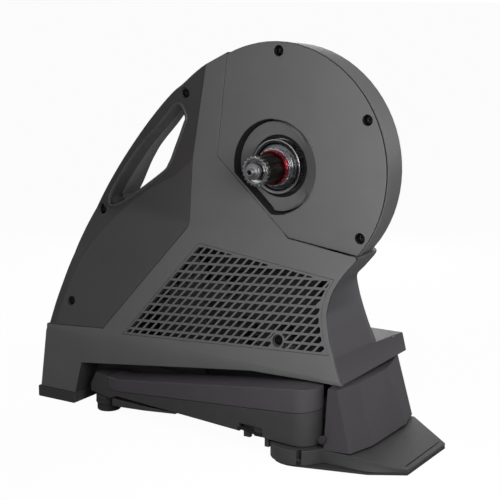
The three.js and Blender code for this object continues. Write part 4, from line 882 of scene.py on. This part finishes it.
for name, body, slot, finish, sides, teeth, ease, profile, *stands_for in TURNED:
    piece = turned(name, eased(profile, ease), sides=sides, ripple=teeth)
    dress(piece, body, slot, finish, *stands_for)

# Neck and shelf: at each height a closed loop of points, from the drive side's edge along the
# front, round the far corner, and back to the body


def stacked(name, loops):
    """A closed solid from equal loops of points, one above the other, with its ends filled."""
    obj = grid_mesh(name, loops, close_across=True)
    shape = bmesh.new()
    shape.from_mesh(obj.data)
    bmesh.ops.holes_fill(shape, edges=shape.edges, sides=0)
    bmesh.ops.recalc_face_normals(shape, faces=shape.faces)
    finished_mesh(shape, obj.data)
    return obj


def mirrored(y, far):
    """A place across the trainer, for the drive side or mirrored for the far side."""
    return MIRROR_SUM - y if far else y


def bar(name, corners, far=False):
    """A closed solid through rows of places (x, y, z), one row for each corner of its section."""
    places = [(x, mirrored(np.asarray(y, float), far), z) for x, y, z in corners]
    return stacked(name, np.stack([np.stack(np.broadcast_arrays(*p), -1) for p in places], 1))


# The turn is where the neck's front bends away from the viewer, smoothed over its neighbours
SHELF_TOP, SHELF_LIP, NECK_TOP = 120.0, 98.0, 228.4
COVER_INSET, COVER_SKIN = 0.3, 3.6
BODY_EDGE = 61.9  # x of the covers' edge on the body
SHELF_FAR = 103.9  # y of the shelf's far edge
TURN_Y, HOOK_Y = 44.0, 56.0
TURN_LINE = [  # height, x
    [112, 114], [119.3, 112.8], [129.8, 107.5], [142, 102.1], [158, 96.1], [172.3, 91.4],
    [185, 88.1], [193, 86.2], [197.6, 86.0], [202, 88.5], [208, 95.0], [226, 110.4], [230, 113.0],
]


def neck_at(z):
    """The covers' x at the drive side by height."""
    return np.interp(z, neck_curve[::-1, 1], neck_curve[::-1, 0]) - COVER_INSET


neck_z = np.linspace(SHELF_TOP - 2, NECK_TOP, 56)
near_x = neck_at(neck_z)
turn_x = np.interp(neck_z, *np.array(TURN_LINE).T)
kernel = np.hanning(7)[1:-1] / np.hanning(7)[1:-1].sum()
turn_x = np.convolve(np.pad(turn_x, 2, "edge"), kernel, "valid")
far_y = np.interp(neck_z, (SHELF_TOP, SHOULDER), (82.7, 62.7))
near_y = face_at(neck_z) + COVER_SKIN
front_way = np.linspace(0, 1, 19)[:, None]
front_x = near_x + (turn_x - near_x) * front_way
front_y = near_y + (TURN_Y - near_y) * front_way
hook_way = np.linspace(0, 1, 9)[1:, None]
hook_x = bent(turn_x, turn_x - 0.5, np.maximum(turn_x - 26, BODY_EDGE), hook_way)
hook_y = bent(TURN_Y, HOOK_Y, far_y, hook_way)
body_edge = np.full_like(near_x, BODY_EDGE)
loop_x = np.vstack([front_x, hook_x, body_edge, body_edge, near_x - 2.4])
loop_y = np.vstack([front_y, hook_y, far_y + 0.2, near_y + 34.0, near_y + 1.6])
loops = np.stack([loop_x, loop_y, np.broadcast_to(neck_z, loop_x.shape)], -1).transpose(1, 0, 2)
top = loops[-1:].copy()  # the last loop leans with the seam's lower line, 0.6 below it
top[..., 2] = 242.9 - 0.6 + (top[..., 0] - 19.0) * (231.04 - 242.9) / 91.06
neck = stacked("neck_cover", np.concatenate([loops, top]))
round_edges(neck, 0.5, 2)
dress(neck, "frame", "dark_shell", cover_nylon, "front_cover")
shelf_z = np.array([90.95, 105.0, SHELF_TOP])
shelf_y = face_at(shelf_z) + COVER_SKIN
lip_z = np.maximum(shelf_z, SHELF_LIP)
shelf = bar("shelf_cover", [
    (neck_at(shelf_z), shelf_y, shelf_z),
    ([125.6, 124.0, 120.2], SHELF_FAR, lip_z),
    (BODY_EDGE, SHELF_FAR, lip_z),
    (BODY_EDGE, shelf_y, shelf_z),
])
round_edges(shelf, 0.9, 3)
dress(shelf, "frame", "dark_shell", cover_nylon, "front_cover")


# The rest of the outer solids, with rounded edges
def lifted_foot(corners):
    """Lifts the pedestal's front edge off the foot plate and draws its rear edge in, where the
    real one shows dark gaps. The far part of its head is lifted to meet the shelf, and its far
    edge moved out under it."""
    x, y, z = corners.T
    z = z + np.where((z < 18.6) & (x > 120), 1.8, 0.0)
    z = z + np.where((z > 60) & (y > 70), 4.5, 0.0)
    y = y + np.where((z > 60) & (y > 80), 10.0, 0.0)
    return np.column_stack([x + np.where(x < 99.2, 5.5, 0.0), y, z])


def set_back_drum(corners):
    """Sets the drum's front edge back, which leaves the groove behind the disc cover's rim."""
    x, y, z = corners.T
    return np.column_stack([x, np.where(np.abs(y - 3.3) < 0.05, 5.2, y), z])


edge_widths = {
    "flywheel_cover": 3.0, "front_foot": 1.2, "front_foot_sole": 0.6, "power_inlet": 0.4,
    "end_cap_far_side": 0.5,
}
SIDE_WIDTHS = {"leg": 1.2, "leg_cover": 1.5, "latch": 0.6, "foot_pad": 1.2, "leg_stop": 0.8}
for side, _ in SIDES:
    edge_widths |= {f"{side}_{part}": width for part, width in SIDE_WIDTHS.items()}
for node, width in edge_widths.items():
    softened(node, width)
softened("pedestal", 1.2, pedestal_nylon, reshape=lifted_foot, sharp=6.0)
softened("rear_foot_pad", 1.5, pad_rubber)
softened("pulley_housing", 1.2, reshape=set_back_drum)

# The handle's far face by height, as the photograph shows it through the opening
GRIP_FAR = [  # height, y
    [281, FAR_FACE], [296, 57.7], [310, 52], [320, 49.6], [332, 46.7], [356, 44], [375, 41],
    [392, 42], [412, FAR_FACE],
]


def slimmer_grip(corners):
    """Eases the outlines, and draws the handle's far face in by height: each corner keeps its
    share of the way from the split to the far face. The end beside the shelf stays inside the
    shelf's cover."""
    x, y, z = eased_corners(corners).T
    rear = np.interp(z, *handle_hole[[3, 2, 1, 0, 9]][:, ::-1].T)
    far = np.interp(z, *np.array(GRIP_FAR).T)
    slim = (y > SPLIT_Y) & (x < rear + 1.0)
    y = np.where(slim, SPLIT_Y + (y - SPLIT_Y) * (far - SPLIT_Y) / (FAR_FACE - SPLIT_Y), y)
    by_shelf = (x > 70) & (y > 70)
    z = np.where(by_shelf, np.clip(z, SHELF_LIP + 0.2, SHELF_TOP - 0.6), z)
    return np.column_stack([np.where(by_shelf, np.minimum(x - 0.9, 118.3), x), y, z])


softened("far_side_shell", 1.2, reshape=slimmer_grip, bends=body_bends)

# Adjusting feet: a knurled collar over each pad, turned about the upright stud
FOOT_X, FOOT_Y = -227.0, -33.0
knob = eased([
    [0.02, 9.1], [15.6, 9.1], [16.4, 10.4], [16.4, 13.6], [15.4, 14.4], [16.2, 15.2], [16.2, 18.6],
    [14.8, 19.9], [5.0, 19.9], [5.0, 36.0], [0.02, 36.0],
], 0.5, 3)
knurls = notched(24, 0.5, 0.4, 15.9)
for side, far in SIDES:
    node = side + "_foot_screw"
    centre = (FOOT_X, mirrored(FOOT_Y, far))
    collar = turned(node + "_finished", knob, centre, 144, knurls, upright=True)
    dress(collar, body_of[node], "black_steel", moulded_rubber, node)

# Legs: a rib along each casting's foot with a hollow over it that is painted shade, and inlays of
# painted shade: a plate and a sill in the latch's window, and the gap in the hinge's boss with the
# lining of its notch
RIB_TABLE = [  # x, near side's y, rib's lower and upper edge
    [-204.0, -56.4, 13.6, 23.2], [-188.0, -57.6, 14.4, 23.0], [-151.0, -60.5, 17.5, 23.0],
    [-126.0, -62.4, 20.4, 24.0], [-100.0, -64.6, 23.4, 25.2],
]
RIB_PARTS = [  # name, inner and outer step in y, how far the lower and the upper edge are raised
    ("rib", 0.6, 6.0, 0.0, 0.0, powder_coat),
    # The hollow is painted shade: black where the hollow over the rib lies in shade.
    ("hollow", 6.2, 8.0, 0.4, 9.0, painted_shade_black),
]
WINDOW = np.array([[-12.0, 25.3], [33.0, 19.6], [33.0, 34.5], [-12.0, 34.5]])  # x, z
WINDOW_Y, INLAY = -61.4, 1.2
SILL_X, SILL_Z = np.array([-2.6, 29.6]), np.array([28.3, 23.4])
HINGE = (70, -53)
GAP_TURN = np.radians(np.linspace(-70.0, -60.9, 9))
NOTCH_X, NOTCH_Y = [81.8, 87.2], np.array([-81.23, -80.73])
for side, far in SIDES:
    rib_x, rib_y, low, high = np.array(RIB_TABLE).T
    for name, inner, outer, lift, grown, finish in RIB_PARTS:
        section = [(inner, low + lift), (outer, low), (outer, high + grown), (inner, high + grown)]
        piece = bar(f"{side}_leg_{name}", [(rib_x, rib_y + step, z) for step, z in section], far)
        dress(round_edges(piece, 0.8, 2), side + "_leg", "casting", finish)
    start = mirrored(WINDOW_Y, far) - INLAY * far
    window_back = face_plate(side + "_latch_window_back", [WINDOW], start, INLAY, None)
    dress(window_back, side + "_leg", "casting", painted_shade_black)
    sill = [(-77.2, 0.0), (-68.3, 0.0), (-68.3, INLAY), (-77.2, INLAY)]
    gap = [(35.2, 3.6), (36.1, 3.6), (36.1, 8.5), (35.2, 8.5)]
    lining = [(0.0, 8.9), (0.0, 19.8), (0.25, 19.8), (0.25, 8.9)]
    for name, body, corners in (
        ("_latch_window_sill", side + "_leg", [(SILL_X, y, SILL_Z + up) for y, up in sill]),
        ("_boss_gap", "frame", [(*around(HINGE, r, GAP_TURN).T, z) for r, z in gap]),
        ("_boss_notch_lining", "frame", [(NOTCH_X, NOTCH_Y + back, z) for back, z in lining]),
    ):
        dress(bar(side + name, corners, far), body, "casting", painted_shade_black)

# A thin black bead of painted shade along the groove in the front foot's slope, near its edge
strip_y = np.linspace(-36.0, 57.0, 24)
strip_x = 193.6 - 0.012 * (strip_y + 36)
strip = np.column_stack([strip_x, strip_y, np.full_like(strip_y, 7.95)])
dress(swept("front_foot_strip", strip, 0.75, closed=False), "frame", "rubber", painted_shade_black)

# Floor and backdrop: white to the camera, with a faint shadow, as in a packshot
white_floor, floor_tree = new_material("pale studio floor")
seen = add(floor_tree, "ShaderNodeLightPath").outputs
paint = add(floor_tree, "ShaderNodeBsdfDiffuse", {"Color": linear("#dcdcdc")})
lit = add(floor_tree, "ShaderNodeEmission", {"Color": linear("#ffffff"), "Strength": 1.05})
veil = add(floor_tree, "ShaderNodeMath", {0: seen["Is Camera Ray"], 1: 0.92}, operation="MULTIPLY")
shares = {0: veil.outputs[0], 1: paint.outputs[0], 2: lit.outputs[0]}
sheet = add(floor_tree, "ShaderNodeMixShader", shares)
add(floor_tree, "ShaderNodeOutputMaterial", {"Surface": sheet.outputs[0]})
floor_mesh = bpy.data.meshes.new("floor")
half = 40.0  # metres
below = -0.0002  # so that the floor and the soles don't share a plane
corners = [(-half, -half, below), (half, -half, below), (half, half, below), (-half, half, below)]
floor_mesh.from_pydata(corners, [], [(0, 1, 2, 3)])
floor = bpy.data.objects.new("floor", floor_mesh)
floor_mesh.materials.append(white_floor)
scene.collection.objects.link(floor)

world = bpy.data.worlds.new("studio")
scene.world = world
world.use_nodes = True
sky = world.node_tree
sky.nodes.clear()
ray = add(sky, "ShaderNodeLightPath").outputs
shown = ray["Is Camera Ray"]  # the sky is white to these three kinds of ray, and dim to the rest
for kind in ("Is Glossy Ray", "Is Transmission Ray"):
    shown = add(sky, "ShaderNodeMath", {0: shown, 1: ray[kind]}, operation="MAXIMUM").outputs[0]
glow = add(sky, "ShaderNodeBackground", {"Color": linear("#ffffff"), "Strength": 0.03})
white = add(sky, "ShaderNodeBackground", {"Color": linear("#ffffff"), "Strength": 1.0})
either = add(sky, "ShaderNodeMixShader", {0: shown, 1: glow.outputs[0], 2: white.outputs[0]})
add(sky, "ShaderNodeOutputWorld", {"Surface": either.outputs[0]})


def lamp(name, place, aim, size, power):
    """A square soft box at a place in metres, turned towards the point it lights."""
    light = bpy.data.lights.new(name, "AREA")
    light.shape, light.size, light.energy = "SQUARE", size, power
    obj = bpy.data.objects.new(name, light)
    obj.location = place
    way = np.subtract(aim, place)
    obj.rotation_euler = (
        math.acos(-way[2] / np.linalg.norm(way)),
        0,
        math.atan2(way[1], way[0]) - math.pi / 2,
    )
    obj.visible_camera = False
    scene.collection.objects.link(obj)


# Their powers were fitted to the photograph's tones
lamp("key soft box", (0.45, -0.42, 0.42), (0.12, 0, 0.25), 0.3, 2.7)
lamp("low front fill", (0.55, -0.75, 0.15), (0.12, 0, 0.15), 0.35, 0.6)
lamp("back edge light", (-0.9, 0.03, 0.3), (-0.15, 0, 0.2), 0.3, 1.1)
lamp("rear soft box", (-0.6, 1.0, 0.5), (0, 0, 0.2), 0.6, 4.0)
lamp("far edge light", (0.9, 1.2, 0.5), (0.1, 0, 0.15), 0.5, 2.0)
